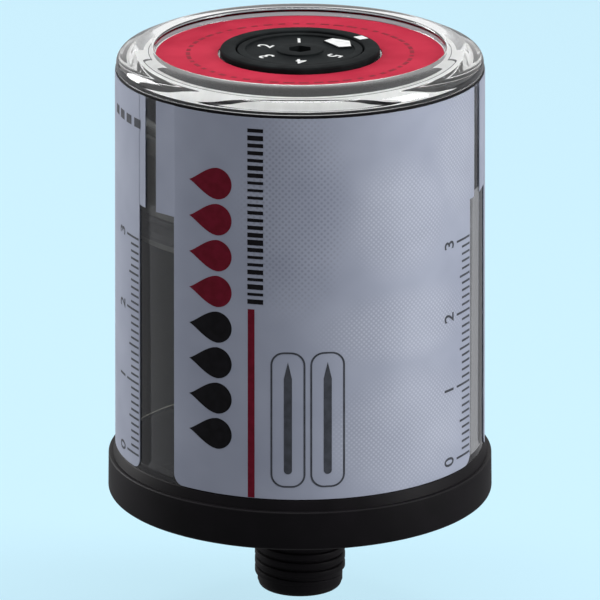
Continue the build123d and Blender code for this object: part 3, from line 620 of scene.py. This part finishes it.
def wrap_label(name, node, middle, half_angle):
    """The film as a curved sheet with its thickness, and its flat size in mm as a UV map."""
    mesh = bmesh.new()
    flat = mesh.loops.layers.uv.new("film_mm")
    columns, place = [], {}
    for angle, low_z in label_edges(half_angle):
        arc = radians(angle) * WALL_TOP_R
        columns.append([])
        for z in sorted({low_z, WINDOW_TOP_Z, LABEL_TOP_Z}):
            vert = mesh.verts.new(wrapped(arc, LABEL_BACK, z, middle))
            columns[-1].append(vert)
            place[vert] = (arc, z)
    for left, right in zip(columns, columns[1:]):
        mesh.faces.new([left[-2], right[-2], right[-1], left[-1]])
        if len(left) == 3 and len(right) == 3:
            mesh.faces.new([left[0], right[0], right[1], left[1]])
    for face in mesh.faces:
        for loop in face.loops:
            loop[flat].uv = place[loop.vert]
    label = stiffened(object_from(name, mesh), LABEL_FACE - LABEL_BACK, SILVER)
    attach(label, "container")
    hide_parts(node)


wrap_label("front_film", "label_front", FRONT, FRONT_HALF_ANGLE)
wrap_label("rear_film", "label_rear", REAR, REAR_HALF_ANGLE)

# ---- Thread ----


def thread_tree():
    """A rounded ridge that climbs round an axis and fades into its root at both ends."""
    tree, given = new_tree("outlet_thread", {
        "Turns": "Float", "Pitch": "Float", "Root Radius": "Float", "Depth": "Float",
        "Crest Width": "Float", "Foot Width": "Float", "Start Height": "Float",
        "Material": "Material"})
    height = calc(tree, "MULTIPLY", given["Turns"], given["Pitch"])
    spiral = add_node(tree, "GeometryNodeCurveSpiral", Resolution=72, Rotations=given["Turns"],
                      Start_Radius=given["Root Radius"], End_Radius=given["Root Radius"],
                      Height=height)
    upright = add_node(tree, "GeometryNodeSetCurveNormal", {"mode": "Z_UP"},
                       Curve=spiral.outputs[0])
    outline = add_node(tree, "GeometryNodeCurvePrimitiveQuadrilateral", {"mode": "TRAPEZOID"},
                       Bottom_Width=given["Foot Width"], Top_Width=given["Crest Width"],
                       Height=given["Depth"], Offset=0.0)
    lift = xyz(tree, Y=calc(tree, "MULTIPLY", given["Depth"], 0.5))
    raised = moved(tree, outline.outputs[0], Translation=lift)
    # the trapezoid's height turns outwards, its width along the axis
    turned_out = moved(tree, raised, Rotation=(0, 0, radians(90)))
    soft = add_node(tree, "GeometryNodeFilletCurve", {"mode": "POLY"}, Curve=turned_out,
                    Count=2, Radius=0.09 * MM)
    along = add_node(tree, "GeometryNodeSplineParameter")
    from_start = add_node(tree, "ShaderNodeMapRange", Value=along.outputs["Factor"],
                          From_Min=0.0, From_Max=0.05, To_Min=0.1, To_Max=1.0)
    from_end = add_node(tree, "ShaderNodeMapRange", Value=along.outputs["Factor"],
                        From_Min=0.95, From_Max=1.0, To_Min=1.0, To_Max=0.1)
    fade = calc(tree, "MINIMUM", from_start.outputs["Result"], from_end.outputs["Result"])
    ridge = add_node(tree, "GeometryNodeCurveToMesh", Curve=upright.outputs[0],
                     Profile_Curve=soft.outputs[0], Scale=fade, Fill_Caps=True)
    placed = moved(tree, ridge.outputs[0], Translation=xyz(tree, Z=given["Start Height"]))
    close_tree(tree, placed, given["Material"])
    return tree


thread = grown("outlet_thread", thread_tree(), {
    "Turns": 9.2, "Pitch": THREAD_PITCH * MM, "Root Radius": (ROOT_R - 0.05) * MM,
    "Depth": (THREAD_DEPTH - 0.02) * MM, "Crest Width": 0.8 * MM, "Foot Width": 1.2 * MM,
    "Start Height": (STUB_LOW_Z + 0.75) * MM, "Material": BLACK})
finish_mesh(thread, BLACK)
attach(thread, "container")
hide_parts("base_cap")

# ---- Prints ----


def climbing_points(tree, count, x, low, step):
    """Points one above another from a place on the print's plane."""
    return add_node(tree, "GeometryNodeMeshLine", Count=count, Start_Location=xyz(tree, X=x, Y=low),
                    Offset=xyz(tree, Y=step)).outputs[0]


def random_length(tree, given):
    """A length between the tree's shortest and longest, from its seed."""
    return add_node(tree, "FunctionNodeRandomValue", {"data_type": "FLOAT"}, _2=given["Shortest"],
                    _3=given["Longest"], Seed=given["Seed"]).outputs[1]


def scale_tree():
    """Lines of a level scale, with a longer one at every fifth and the longest at every tenth."""
    tree, given = new_tree("level_scale", {
        "Divisions": "Int", "Step": "Float", "Zero Height": "Float", "Right Edge": "Float",
        "Short": "Float", "Middle": "Float", "Long": "Float", "Line Width": "Float",
        "Material": "Material"})
    points = climbing_points(tree, calc(tree, "ADD", given["Divisions"], 1.0),
                             given["Right Edge"], given["Zero Height"], given["Step"])
    line = add_node(tree, "GeometryNodeMeshGrid", Size_X=1.0, Size_Y=given["Line Width"],
                    Vertices_X=2, Vertices_Y=2)
    hung = moved(tree, line.outputs[0], Translation=(-0.5, 0, 0))
    index = add_node(tree, "GeometryNodeInputIndex")
    length = given["Short"]
    for every, longer in ((5, given["Middle"]), (10, given["Long"])):
        marked = add_node(tree, "FunctionNodeCompare", {"operation": "LESS_THAN"},
                          _0=calc(tree, "MODULO", index.outputs[0], every), _1=0.5)
        length = add_node(tree, "GeometryNodeSwitch", {"input_type": "FLOAT"}, _0=marked.outputs[0],
                          _1=length, _2=longer).outputs[0]
    lines = add_node(tree, "GeometryNodeInstanceOnPoints", Points=points, Instance=hung,
                     Scale=xyz(tree, X=length, Y=1.0, Z=1.0))
    close_tree(tree, lines.outputs[0], given["Material"])
    return tree


def dash_tree():
    """A row of plain dashes of different lengths, one above another."""
    tree, given = new_tree("dash_row", {
        "Count": "Int", "Step": "Float", "Middle": "Float", "Low": "Float", "Width": "Float",
        "Shortest": "Float", "Longest": "Float", "Seed": "Int", "Material": "Material"})
    points = climbing_points(tree, given["Count"], given["Middle"], given["Low"], given["Step"])
    dash = add_node(tree, "GeometryNodeMeshGrid", Size_X=given["Width"], Size_Y=1.0,
                    Vertices_X=2, Vertices_Y=2)
    size = xyz(tree, X=1.0, Y=random_length(tree, given), Z=1.0)
    dashes = add_node(tree, "GeometryNodeInstanceOnPoints", Points=points,
                      Instance=dash.outputs[0], Scale=size)
    close_tree(tree, dashes.outputs[0], given["Material"])
    return tree


def ring_tree():
    """Plain dashes set round a circle, of different lengths."""
    tree, given = new_tree("dash_ring", {
        "Count": "Int", "Radius": "Float", "Width": "Float", "Shortest": "Float",
        "Longest": "Float", "Seed": "Int", "Material": "Material"})
    circle = add_node(tree, "GeometryNodeCurvePrimitiveCircle", {"mode": "RADIUS"}, Resolution=180,
                      Radius=given["Radius"])
    points = add_node(tree, "GeometryNodeCurveToPoints", {"mode": "COUNT"}, Curve=circle.outputs[0],
                      Count=given["Count"])
    dash = add_node(tree, "GeometryNodeMeshGrid", Size_X=1.0, Size_Y=given["Width"],
                    Vertices_X=4, Vertices_Y=2)
    facing = add_node(tree, "FunctionNodeAlignRotationToVector", {"axis": "X"},
                      Vector=points.outputs["Tangent"])
    size = xyz(tree, X=random_length(tree, given), Y=1.0, Z=1.0)
    dashes = add_node(tree, "GeometryNodeInstanceOnPoints", Points=points.outputs[0],
                      Instance=dash.outputs[0], Rotation=facing.outputs[0], Scale=size)
    close_tree(tree, dashes.outputs[0], given["Material"])
    return tree


def flat_figure(text, size, x, y, turn_deg):
    """One plain figure as a flat mesh, turned and put on the print's plane."""
    letter = bpy.data.curves.new("figure", "FONT")
    letter.body = text
    letter.size = size
    letter.offset = size * 0.012
    letter.align_x, letter.align_y = "CENTER", "CENTER"
    holder = new_object("figure", letter)
    graph = bpy.context.evaluated_depsgraph_get()
    flat = bpy.data.meshes.new_from_object(holder.evaluated_get(graph))
    bpy.data.objects.remove(holder)
    flat.transform(Matrix.Translation((x, y, 0)) @ Matrix.Rotation(radians(turn_deg), 4, "Z"))
    return flat


def flat_shape(outline, hole=None):
    """A flat face from an outline in millimetres; with a hole of as many points, a flat band."""
    mesh = bmesh.new()
    outer = [mesh.verts.new((x, y, 0)) for x, y in outline]
    if hole:
        inner = [mesh.verts.new((x, y, 0)) for x, y in hole]
        for i in range(len(outer)):
            mesh.faces.new([outer[i - 1], outer[i], inner[i], inner[i - 1]])
    else:
        mesh.faces.new(outer)
    flat = bpy.data.meshes.new("shape")
    mesh.to_mesh(flat)
    mesh.free()
    return flat


def drop(x, y, width, height, turn_deg):
    """Outline of a drop whose tip points up before it is turned."""
    radius = width / 2
    reach = height - radius
    turn = Matrix.Rotation(radians(turn_deg), 2)
    middle = Vector((x, y)) + turn @ Vector((0, (radius - reach) / 2))
    outline = []
    for i in range(48):
        a = 2 * pi * i / 48
        # a circle whose upper half is drawn out to a tip
        side, rise = sin(a) * radius, -cos(a) * radius
        if rise > 0:
            side *= 1 - (rise / radius) ** 1.6 * 0.93
            rise *= reach / radius
        outline.append(tuple(middle + turn @ Vector((side, rise))))
    return outline


def tall_drop(x, low, high, width, tip):
    """Outline of a straight drop: round below, with a tip of a given length above."""
    radius = width / 2
    foot = [(x - radius * cos(pi * i / 12), low + radius - radius * sin(pi * i / 12))
            for i in range(13)]
    return foot + [(x + radius, high - tip), (x, high), (x - radius, high - tip)]


def box_outline(x0, y0, x1, y1):
    return [(x0, y0), (x1, y0), (x1, y1), (x0, y1)]


def rounded_box(x, y, width, height, radius, steps=8):
    """Outline of a box with rounded corners, set by its middle."""
    outline = []
    for i in range(4):
        across = (width / 2 - radius) * (1 if i in (0, 3) else -1)
        up = (height / 2 - radius) * (1 if i in (0, 1) else -1)
        for j in range(steps + 1):
            a = pi / 2 * (i + j / steps)
            outline.append((x + across + radius * cos(a), y + up + radius * sin(a)))
    return outline


def joined(flats):
    """One edit mesh of many flat meshes, which are removed."""
    mesh = bmesh.new()
    for flat in flats:
        mesh.from_mesh(flat)
        bpy.data.meshes.remove(flat)
    return mesh


def printed(name, flats, middle, material):
    """Flat shapes wrapped round the container's wall as one thin layer of ink on a label."""
    mesh = joined(flats)
    for vert in mesh.verts:
        vert.co.z = 0
    low, high = min(v.co.x for v in mesh.verts), max(v.co.x for v in mesh.verts)
    width = 0.8
    for line in range(int(low / width) - 1, int(high / width) + 2):
        everything = mesh.verts[:] + mesh.edges[:] + mesh.faces[:]
        bmesh.ops.bisect_plane(mesh, geom=everything, plane_co=(line * width, 0, 0),
                               plane_no=(1, 0, 0))
    for vert in mesh.verts:
        vert.co = wrapped(vert.co.x, LABEL_FACE + 0.008, vert.co.y, middle)
    layer = stiffened(object_from(name, mesh), INK_THICK, material)
    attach(layer, "container")


def laid(name, flats, z_mm, body, material):
    """Flat shapes laid on a level face as one thin layer of ink."""
    mesh = joined(flats)
    for vert in mesh.verts:
        vert.co = Vector((vert.co.x, vert.co.y, z_mm)) * MM
    layer = stiffened(object_from(name, mesh), INK_THICK, material)
    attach(layer, body)


def flat_of(name, tree, values):
    """A flat print grown by a tree, as a bare mesh."""
    obj = grown(name, tree, values)
    data = obj.data
    bpy.data.objects.remove(obj)
    return data


SCALE_TREE = scale_tree()
DASH_TREE = dash_tree()


def level_scale(name, middle, half_angle):
    """Level scale along a label's right edge, numbered from empty to full."""
    edge = radians(half_angle - RIGHT_STEP_ANGLE) * WALL_TOP_R - 0.25
    flats = [flat_of(name, SCALE_TREE, {
        "Divisions": 30, "Step": SCALE_STEP, "Zero Height": SCALE_ZERO_Z, "Right Edge": edge,
        "Short": 2.3, "Middle": 2.9, "Long": 3.7, "Line Width": 0.32, "Material": GREY_INK})]
    for number in range(4):
        height = SCALE_ZERO_Z + 10 * SCALE_STEP * number
        flats.append(flat_figure(str(number), 2.9, edge - 5.4, height, 90))
    printed(name, flats, middle, GREY_INK)


level_scale("front_scale", FRONT, FRONT_HALF_ANGLE)
level_scale("rear_scale", REAR, REAR_HALF_ANGLE)

DROP_COLUMN = -17.0
DROP_STEP = 5.15
DROP_LOW_Z = 16.0
for name, first, material in (("black_drops", 0, BLACK_INK), ("red_drops", 4, RED_INK)):
    flats = [flat_shape(drop(DROP_COLUMN, DROP_LOW_Z + DROP_STEP * i, 4.5, 6.6, turn_deg=90))
             for i in range(first, first + 4)]
    printed(name, flats, FRONT, material)

printed("line_of_dashes", [flat_of("dashes", DASH_TREE, {
    "Count": 24, "Step": 1.06, "Middle": -10.35, "Low": 35.7, "Width": 2.2, "Shortest": 0.35,
    "Longest": 0.8, "Seed": 4, "Material": GREY_INK})], FRONT, BLACK_INK)
rule = box_outline(-11.4, LABEL_LOW_Z + 0.05, -10.45, 34.6)
printed("red_rule", [flat_shape(rule)], FRONT, RED_INK)

BOX_MIDDLE_Z = 18.8
BOX_WIDTH, BOX_HEIGHT, BOX_CORNER = 4.75, 19.7, 1.9
OUTLINE_WIDTH = 0.26
for name, x in (("left_drop_box", -5.88), ("right_drop_box", -0.48)):
    less = 2 * OUTLINE_WIDTH
    printed(name, [
        flat_shape(rounded_box(x, BOX_MIDDLE_Z, BOX_WIDTH, BOX_HEIGHT, BOX_CORNER),
                   rounded_box(x, BOX_MIDDLE_Z, BOX_WIDTH - less, BOX_HEIGHT - less,
                               BOX_CORNER - OUTLINE_WIDTH)),
        flat_shape(tall_drop(x, 10.9, 27.2, 1.1, 2.4)),
    ], FRONT, GREY_INK)

rear_edge = radians(REAR_HALF_ANGLE) * WALL_TOP_R
printed("rear_dashes", [
    flat_shape(box_outline(rear_edge - start, 57.0, rear_edge - start + 1.7, 58.3))
    for start in (3.0, 5.6, 8.2, 10.8)], REAR, GREY_INK)

# lower face of the painted highlight ring and the painted shade line under the plate
PAINTED_BAND_LOW_Z = PLATE_LOW_Z - 0.1
# radius of the painted shade line round the shoulder
SHADE_LINE_R = WALL_TOP_R + 0.03
FILM_INNER_R = 11.5
PLAIN_RINGS = (
    # under the plate: a white ring painted in as the highlight that the rounded shoulder gathers, with a dark line
    # in it painted in as shade
    ("painted_highlight_band", box_outline(20.8, PAINTED_BAND_LOW_Z, 22.0, PLATE_LOW_Z + 0.01), PAINTED_HIGHLIGHT_RING),
    # black plastic ring painted in as the dark shade line under the shoulder's highlight
    ("painted_shade_bead_line", box_outline(21.33, PAINTED_BAND_LOW_Z, 21.42, PLATE_LOW_Z + 0.03), PLUG),
    # between the labels' top edge and the shoulder: a black ring painted in as the shade line under the clear
    # shoulder
    ("painted_shade_shoulder_line", box_outline(SHADE_LINE_R, LABEL_TOP_Z + 0.05, SHADE_LINE_R + 0.07, LABEL_TOP_Z + 0.45),
     BLACK_INK),
    # a hair into the plate, so that the clear rim shows it
    ("ring_adhesive", box_outline(FILM_INNER_R + 0.1, PLATE_TOP_Z - 0.015,
                                  TOP_LABEL_R - 0.05, PLATE_TOP_Z + 0.03), ADHESIVE),
)
for name, outline, material in PLAIN_RINGS:
    ring = turned(name, outline, material)
    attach(ring, "container")

ring_film = turned("ring_film", [
    (FILM_INNER_R, PLATE_TOP_Z + 0.02),
    (TOP_LABEL_R, PLATE_TOP_Z + 0.02),
    (TOP_LABEL_R, TOP_LABEL_Z, 0.05),
    (FILM_INNER_R, TOP_LABEL_Z, 0.05),
], RED)
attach(ring_film, "container")
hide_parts("top_label")

laid("ring_dashes", [flat_of("ring_dashes", ring_tree(), {
    "Count": 48, "Radius": 15.7, "Width": 0.6, "Shortest": 0.7, "Longest": 1.6, "Seed": 3,
    "Material": FAINT_INK})], TOP_LABEL_Z + 0.004, "container", FAINT_INK)

# ---- Piston and charge ----

NOSE_R = 3.0
PISTON_WALL = 1.8
SKIRT_R = PISTON_R - PISTON_WALL
PISTON_LOW_Z = SPIGOT_TOP_Z + 0.2 + STROKE
LIP_GROOVE_R = PISTON_R - 1.0
GUIDE_GROOVE_R = PISTON_R - 0.8
PISTON_RIB_TOP_Z = PISTON_LOW_Z + 4.6
CHARGE_GAP = 0.3           # of the charge under the piston


def nose_z(r, lift=0.0):
    """The piston's cone, which is the base's at a lift."""
    return cone_z(r, PISTON_NOSE_Z - cone_z(NOSE_R) + lift)


piston = turned("piston_cup", [
    (0, nose_z(NOSE_R)),
    (NOSE_R, nose_z(NOSE_R)),
    (SKIRT_R, nose_z(SKIRT_R)),
    (SKIRT_R, PISTON_LOW_Z),
    (PISTON_R, PISTON_LOW_Z, 0.3),
    (PISTON_R, LIP_LOW_Z - SEAT_GAP),
    (LIP_GROOVE_R, LIP_LOW_Z - SEAT_GAP),
    (LIP_GROOVE_R, LIP_TOP_Z + SEAT_GAP),
    (PISTON_R, LIP_TOP_Z + SEAT_GAP),
    (PISTON_R, GUIDE_LOW_Z - SEAT_GAP),
    (GUIDE_GROOVE_R, GUIDE_LOW_Z - SEAT_GAP),
    (GUIDE_GROOVE_R, GUIDE_TOP_Z + SEAT_GAP),
    (PISTON_R, GUIDE_TOP_Z + SEAT_GAP),
    (PISTON_R, PISTON_TOP_Z, 0.4),
    (SKIRT_R, PISTON_TOP_Z, 0.4),
    (SKIRT_R, nose_z(SKIRT_R, PISTON_WALL), 1.0),
    (NOSE_R, nose_z(NOSE_R, PISTON_WALL)),
    (0, nose_z(NOSE_R, PISTON_WALL)),
], PISTON)
rib_lift = PISTON_WALL - 0.2
add_plates(piston, [
    (0, nose_z(NOSE_R, rib_lift)),
    (NOSE_R, nose_z(NOSE_R, rib_lift)),
    (SKIRT_R + RIB_SINK, nose_z(SKIRT_R + RIB_SINK, rib_lift)),
    (SKIRT_R + RIB_SINK, PISTON_RIB_TOP_Z),
    (0, PISTON_RIB_TOP_Z),
], RIB_THICK, count=6)
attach(piston, "piston_unit")
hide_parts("piston")

lip = (LIP_TOP_Z - LIP_LOW_Z) / 6
lip_seal = turned("lip_seal", [
    (LIP_GROOVE_R + SEAT_GAP, LIP_LOW_Z),
    (SEAL_R, LIP_LOW_Z, 0.15),
    (SEAL_R, LIP_LOW_Z + lip, 0.1),
    (PISTON_R + 0.05, LIP_LOW_Z + 2 * lip, 0.4),
    (PISTON_R + 0.05, LIP_TOP_Z - 2 * lip, 0.4),
    (SEAL_R, LIP_TOP_Z - lip, 0.1),
    (SEAL_R, LIP_TOP_Z, 0.15),
    (LIP_GROOVE_R + SEAT_GAP, LIP_TOP_Z),
], SEAL)
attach(lip_seal, "piston_unit")
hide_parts("piston_lip_seal")

guide = turned("guide_strip", [
    (GUIDE_GROOVE_R + SEAT_GAP, GUIDE_LOW_Z),
    (SEAL_R, GUIDE_LOW_Z, 0.4),
    (SEAL_R, GUIDE_TOP_Z, 0.4),
    (GUIDE_GROOVE_R + SEAT_GAP, GUIDE_TOP_Z),
], GUIDE)
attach(guide, "piston_unit")
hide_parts("piston_guide_ring")

charge = turned("charge", [
    (0, CHARGE_LOW_Z),
    (OUTLET_R - SEAT_GAP, CHARGE_LOW_Z),
    (OUTLET_R - SEAT_GAP, cone_z(OUTLET_R, SEAT_GAP)),
    (CONE_TOP_R, SPIGOT_TOP_Z + SEAT_GAP),
    (CHARGE_R, SPIGOT_TOP_Z + SEAT_GAP),
    (CHARGE_R, PISTON_LOW_Z - CHARGE_GAP),
    (SKIRT_R, PISTON_LOW_Z - CHARGE_GAP),
    (SKIRT_R - CHARGE_GAP, nose_z(SKIRT_R - CHARGE_GAP, -CHARGE_GAP)),
    (NOSE_R, nose_z(NOSE_R, -CHARGE_GAP)),
    (0, nose_z(NOSE_R, -CHARGE_GAP)),
], CHARGE)
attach(charge, "container")
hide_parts("lubricant")
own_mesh(charge)

plug = turned("transit_plug", [
    (0, PLUG_LOW_Z + 0.5),
    (3.2, PLUG_LOW_Z + 0.5, 0.2),
    (3.45, PLUG_LOW_Z, 0.1),
    (PLUG_HEAD_R, PLUG_LOW_Z, 0.7),
    (PLUG_HEAD_R, PLUG_LOW_Z + 1.0, 0.1),
    (OUTLET_R - 0.07, PLUG_LOW_Z + 1.0),
    (OUTLET_R - 0.07, PLUG_TOP_Z, 0.7),
    (0, PLUG_TOP_Z),
], PLUG, segments=128)
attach(plug, "plug")
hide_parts("outlet_plug")

# ---- Gas generator and dial ----

WELL_R = 9.05
DECK_TOP_Z = PLATE_TOP_Z - 0.65
DECK_LOW_Z = DECK_TOP_Z - 1.5
STEM_HOLE_R = 2.57
STEM_BOSS_R, STEM_BOSS_Z = 4.6, DECK_TOP_Z - 3.8
BOARD_R, BOARD_LEDGE_Z = 7.45, DECK_TOP_Z - 6.4
BARREL_BORE_R, BARREL_R = 8.15, 9.55
generator = turned("generator_shell", [
    (STEM_HOLE_R, STEM_BOSS_Z),
    (STEM_BOSS_R, STEM_BOSS_Z),
    (STEM_BOSS_R, DECK_LOW_Z),
    (BOARD_R, DECK_LOW_Z),
    (BOARD_R, BOARD_LEDGE_Z),
    (BARREL_BORE_R, BOARD_LEDGE_Z),
    (BARREL_BORE_R, BARREL_LOW_Z),
    (BARREL_R, BARREL_LOW_Z),
    (BARREL_R, PLATE_TOP_Z),
    (FLANGE_R, PLATE_TOP_Z, 0.1),
    (FLANGE_R, FLANGE_TOP_Z, 0.3),
    (WELL_R, FLANGE_TOP_Z, 0.2),
    (WELL_R, DECK_TOP_Z),
    (STEM_HOLE_R, DECK_TOP_Z),
], DIAL)
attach(generator, "container")
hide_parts("generator_body")

DISH_Z = DIAL_TOP_Z - 0.3
DISH_R = 7.7
HUB_R = 3.3
STEM_R, STEM_LOW_Z = 2.5, DECK_TOP_Z - 4.0
TIP_R, TIP_LOW_Z = 2.0, DECK_TOP_Z - 5.8
dial = turned("dial_disc", [
    (0, TIP_LOW_Z),
    (TIP_R, TIP_LOW_Z, 0.2),
    (TIP_R, STEM_LOW_Z),
    (STEM_R, STEM_LOW_Z),
    (STEM_R, DECK_TOP_Z + 0.1),
    (DIAL_R, DECK_TOP_Z + 0.1),
    (DIAL_R, DIAL_TOP_Z, 0.15),
    (DISH_R, DIAL_TOP_Z, 0.1),
    (DISH_R, DISH_Z, 0.1),
    (HUB_R, DISH_Z, 0.1),
    (HUB_R, DIAL_TOP_Z, 0.1),
    (0, DIAL_TOP_Z),
], DIAL)


def standing_block(name, outline, low_z, high_z):
    """An upright block on a flat outline, with its upper edges eased."""
    mesh = bmesh.new()
    foot = [mesh.verts.new(Vector((x, y, low_z)) * MM) for x, y in outline]
    head = [mesh.verts.new(Vector((x, y, high_z)) * MM) for x, y in outline]
    mesh.faces.new(reversed(foot))
    top = mesh.faces.new(head)
    for i in range(len(outline)):
        mesh.faces.new([foot[i - 1], foot[i], head[i], head[i - 1]])
    bmesh.ops.bevel(mesh, geom=list(top.edges), offset=0.08 * MM, segments=2, affect="EDGES")
    return finish_mesh(object_from(name, mesh), DIAL)


def at_pointer(x, y, offset_deg=0.0):
    """A place on the dial's face, from the pointer's own direction."""
    return Matrix.Rotation(radians(POINTER_ANGLE + offset_deg), 2) @ Vector((x, y))


KEY_R = 1.5 / cos(pi / 6)  # corners of the hexagon, 3 mm across its flats
key_hole = [at_pointer(KEY_R * cos(pi / 3 * i), KEY_R * sin(pi / 3 * i)) for i in range(6)]
carve(dial, standing_block("key_cutter", key_hole, DIAL_TOP_Z - 2.5, DIAL_TOP_Z + 1.0))
finish_mesh(dial, DIAL)

POINTER_OUTLINE = [(HUB_R + 1.9, -2.2), (DISH_R - 0.8, -2.75), ((DISH_R + DIAL_R) / 2, 0),
                   (DISH_R - 0.8, 2.75), (HUB_R + 1.9, 2.2)]
pointer = standing_block("pointer", [at_pointer(x, y) for x, y in POINTER_OUTLINE],
                         DISH_Z - 0.1, DIAL_TOP_Z - 0.01)
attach(pointer, "dial_unit")
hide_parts("dial")
painted = [at_pointer(x * 0.97 + 0.18, y * 0.9) for x, y in POINTER_OUTLINE]
laid("pointer_paint", [flat_shape(painted)], DIAL_TOP_Z - 0.008, "dial_unit", WHITE_INK)
laid("dial_figures", [
    flat_figure(str(i), 3.1, *at_pointer(5.4, 0, 60 * i), POINTER_ANGLE + 60 * i - 90)
    for i in range(1, 6)], DISH_Z + 0.005, "dial_unit", WHITE_INK)
mark = [at_pointer(x, y) for x, y in box_outline(9.35, -0.85, 10.75, 0.85)]
laid("index_mark", [flat_shape(mark)], FLANGE_TOP_Z + 0.004, "container", WHITE_INK)
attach(dial, "dial_unit")
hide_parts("dial")

# ---- Floor, light and camera ----

VIEW_SIDE = 9.45           # degrees that the camera stands to the left of the front label's middle
VIEW_RISE = 17.8
VIEW_DISTANCE = 0.8
VIEW_LENS = 338.0
TARGET_Z = 0.02781
BACKDROP = linear("CDF1FF")
FLOOR_DROP = 9.5           # mm of free height under the part for the plug's way out


def around(side_deg, rise_deg, distance=1.0):
    """A direction from the object: degrees to the right of the camera and up, times a distance."""
    angle = radians(-90 - VIEW_SIDE + side_deg)
    rise = radians(rise_deg)
    flat = Vector((cos(angle), sin(angle), 0)) * cos(rise)
    return (flat + Vector((0, 0, sin(rise)))) * distance


def sorted_rays(tree):
    """Switches for rays: from gloss or through plastic, from the camera, through plastic."""
    rays = add_node(tree, "ShaderNodeLightPath").outputs
    through = rays["Is Transmission Ray"]
    return calc(tree, "MAXIMUM", rays["Is Glossy Ray"], through), rays["Is Camera Ray"], through


def studio_floor():
    """Pale floor that keeps its colour for the eye and sends little of it upwards."""
    material = bpy.data.materials.new("pale_floor")
    material.use_nodes = True
    tree = material.node_tree
    tree.nodes.clear()
    gloss, eye, _ = sorted_rays(tree)
    share = calc(tree, "MULTIPLY", calc(tree, "MAXIMUM", gloss, eye), 0.75)
    colour = blended(tree, eye, linear("8A8B8F"), BACKDROP)
    tone = blended(tree, eye, linear("A6A7AA"), BACKDROP)
    matt = add_node(tree, "ShaderNodeBsdfDiffuse", Color=colour)
    glow = add_node(tree, "ShaderNodeEmission", Color=tone, Strength=1.0)
    mixed = add_node(tree, "ShaderNodeMixShader", _0=share, _1=matt.outputs[0], _2=glow.outputs[0])
    add_node(tree, "ShaderNodeOutputMaterial", Surface=mixed.outputs[0])
    return material


def studio_world():
    """Plain backdrop for the eye; for gloss a studio, white behind the part and dim before it."""
    world = bpy.data.worlds.new("studio")
    world.use_nodes = True
    tree = world.node_tree
    tree.nodes.clear()
    gloss, eye, through = sorted_rays(tree)
    place = add_node(tree, "ShaderNodeTexCoord")
    behind = add_node(tree, "ShaderNodeVectorMath", {"operation": "DOT_PRODUCT"},
                      _0=place.outputs["Generated"], _1=around(180, 45))
    fade = add_node(tree, "ShaderNodeMapRange", {"interpolation_type": "SMOOTHSTEP"},
                    Value=behind.outputs["Value"], From_Min=-0.35, From_Max=0.45)
    white = calc(tree, "MAXIMUM", fade.outputs["Result"], through)
    room = blended(tree, white, linear("3A3B3E"), linear("FFFFFF"))
    ambient = add_node(tree, "ShaderNodeBackground", Color=linear("F4F3F8"), Strength=0.17)
    studio = add_node(tree, "ShaderNodeBackground", Color=room, Strength=1.0)
    backdrop = add_node(tree, "ShaderNodeBackground", Color=BACKDROP, Strength=1.0)
    lit = add_node(tree, "ShaderNodeMixShader", _0=gloss, _1=ambient.outputs[0],
                   _2=studio.outputs[0])
    shown = add_node(tree, "ShaderNodeMixShader", _0=eye, _1=lit.outputs[0],
                     _2=backdrop.outputs[0])
    add_node(tree, "ShaderNodeOutputWorld", Surface=shown.outputs[0])
    return world


floor_mesh = bmesh.new()
bmesh.ops.create_circle(floor_mesh, cap_ends=True, segments=96, radius=3.0)
floor = object_from("floor", floor_mesh)
floor.data.transform(Matrix.Translation((0, 0, (PLUG_LOW_Z - FLOOR_DROP) * MM)))
floor.data.materials.append(studio_floor())
bpy.context.scene.world = studio_world()


def aimed(obj, place):
    """Puts a lamp or the camera at a place, looking at the part's middle."""
    obj.location = Vector((0, 0, TARGET_Z)) + place
    obj.rotation_euler = (-place).to_track_quat("-Z", "Y").to_euler()
    return obj


def softbox(name, place, width, height, watts):
    lamp = bpy.data.lights.new(name, "AREA")
    lamp.shape = "RECTANGLE"
    lamp.size, lamp.size_y = width, height
    lamp.energy = watts
    return aimed(new_object(name, lamp), place)


softbox("key_light", around(74, 20, 0.9), 0.35, 0.8, 7.0)
softbox("top_strip", around(0, 80, 0.75), 0.6, 0.16, 3.4)
softbox("left_light", around(-125, 18, 1.1), 0.35, 0.8, 9.0)
softbox("front_fill", around(-45, 5, 1.2), 0.5, 0.5, 0.8)

camera_data = bpy.data.cameras.new("camera")
camera_data.lens = VIEW_LENS
camera_data.sensor_width = 36.0
camera_data.clip_start = 0.05
camera_data.clip_end = 20.0
camera = new_object("camera", camera_data)
aimed(camera, around(0, VIEW_RISE, VIEW_DISTANCE))
bpy.context.scene.camera = camera
bpy.context.scene.view_settings.view_transform = "Standard"
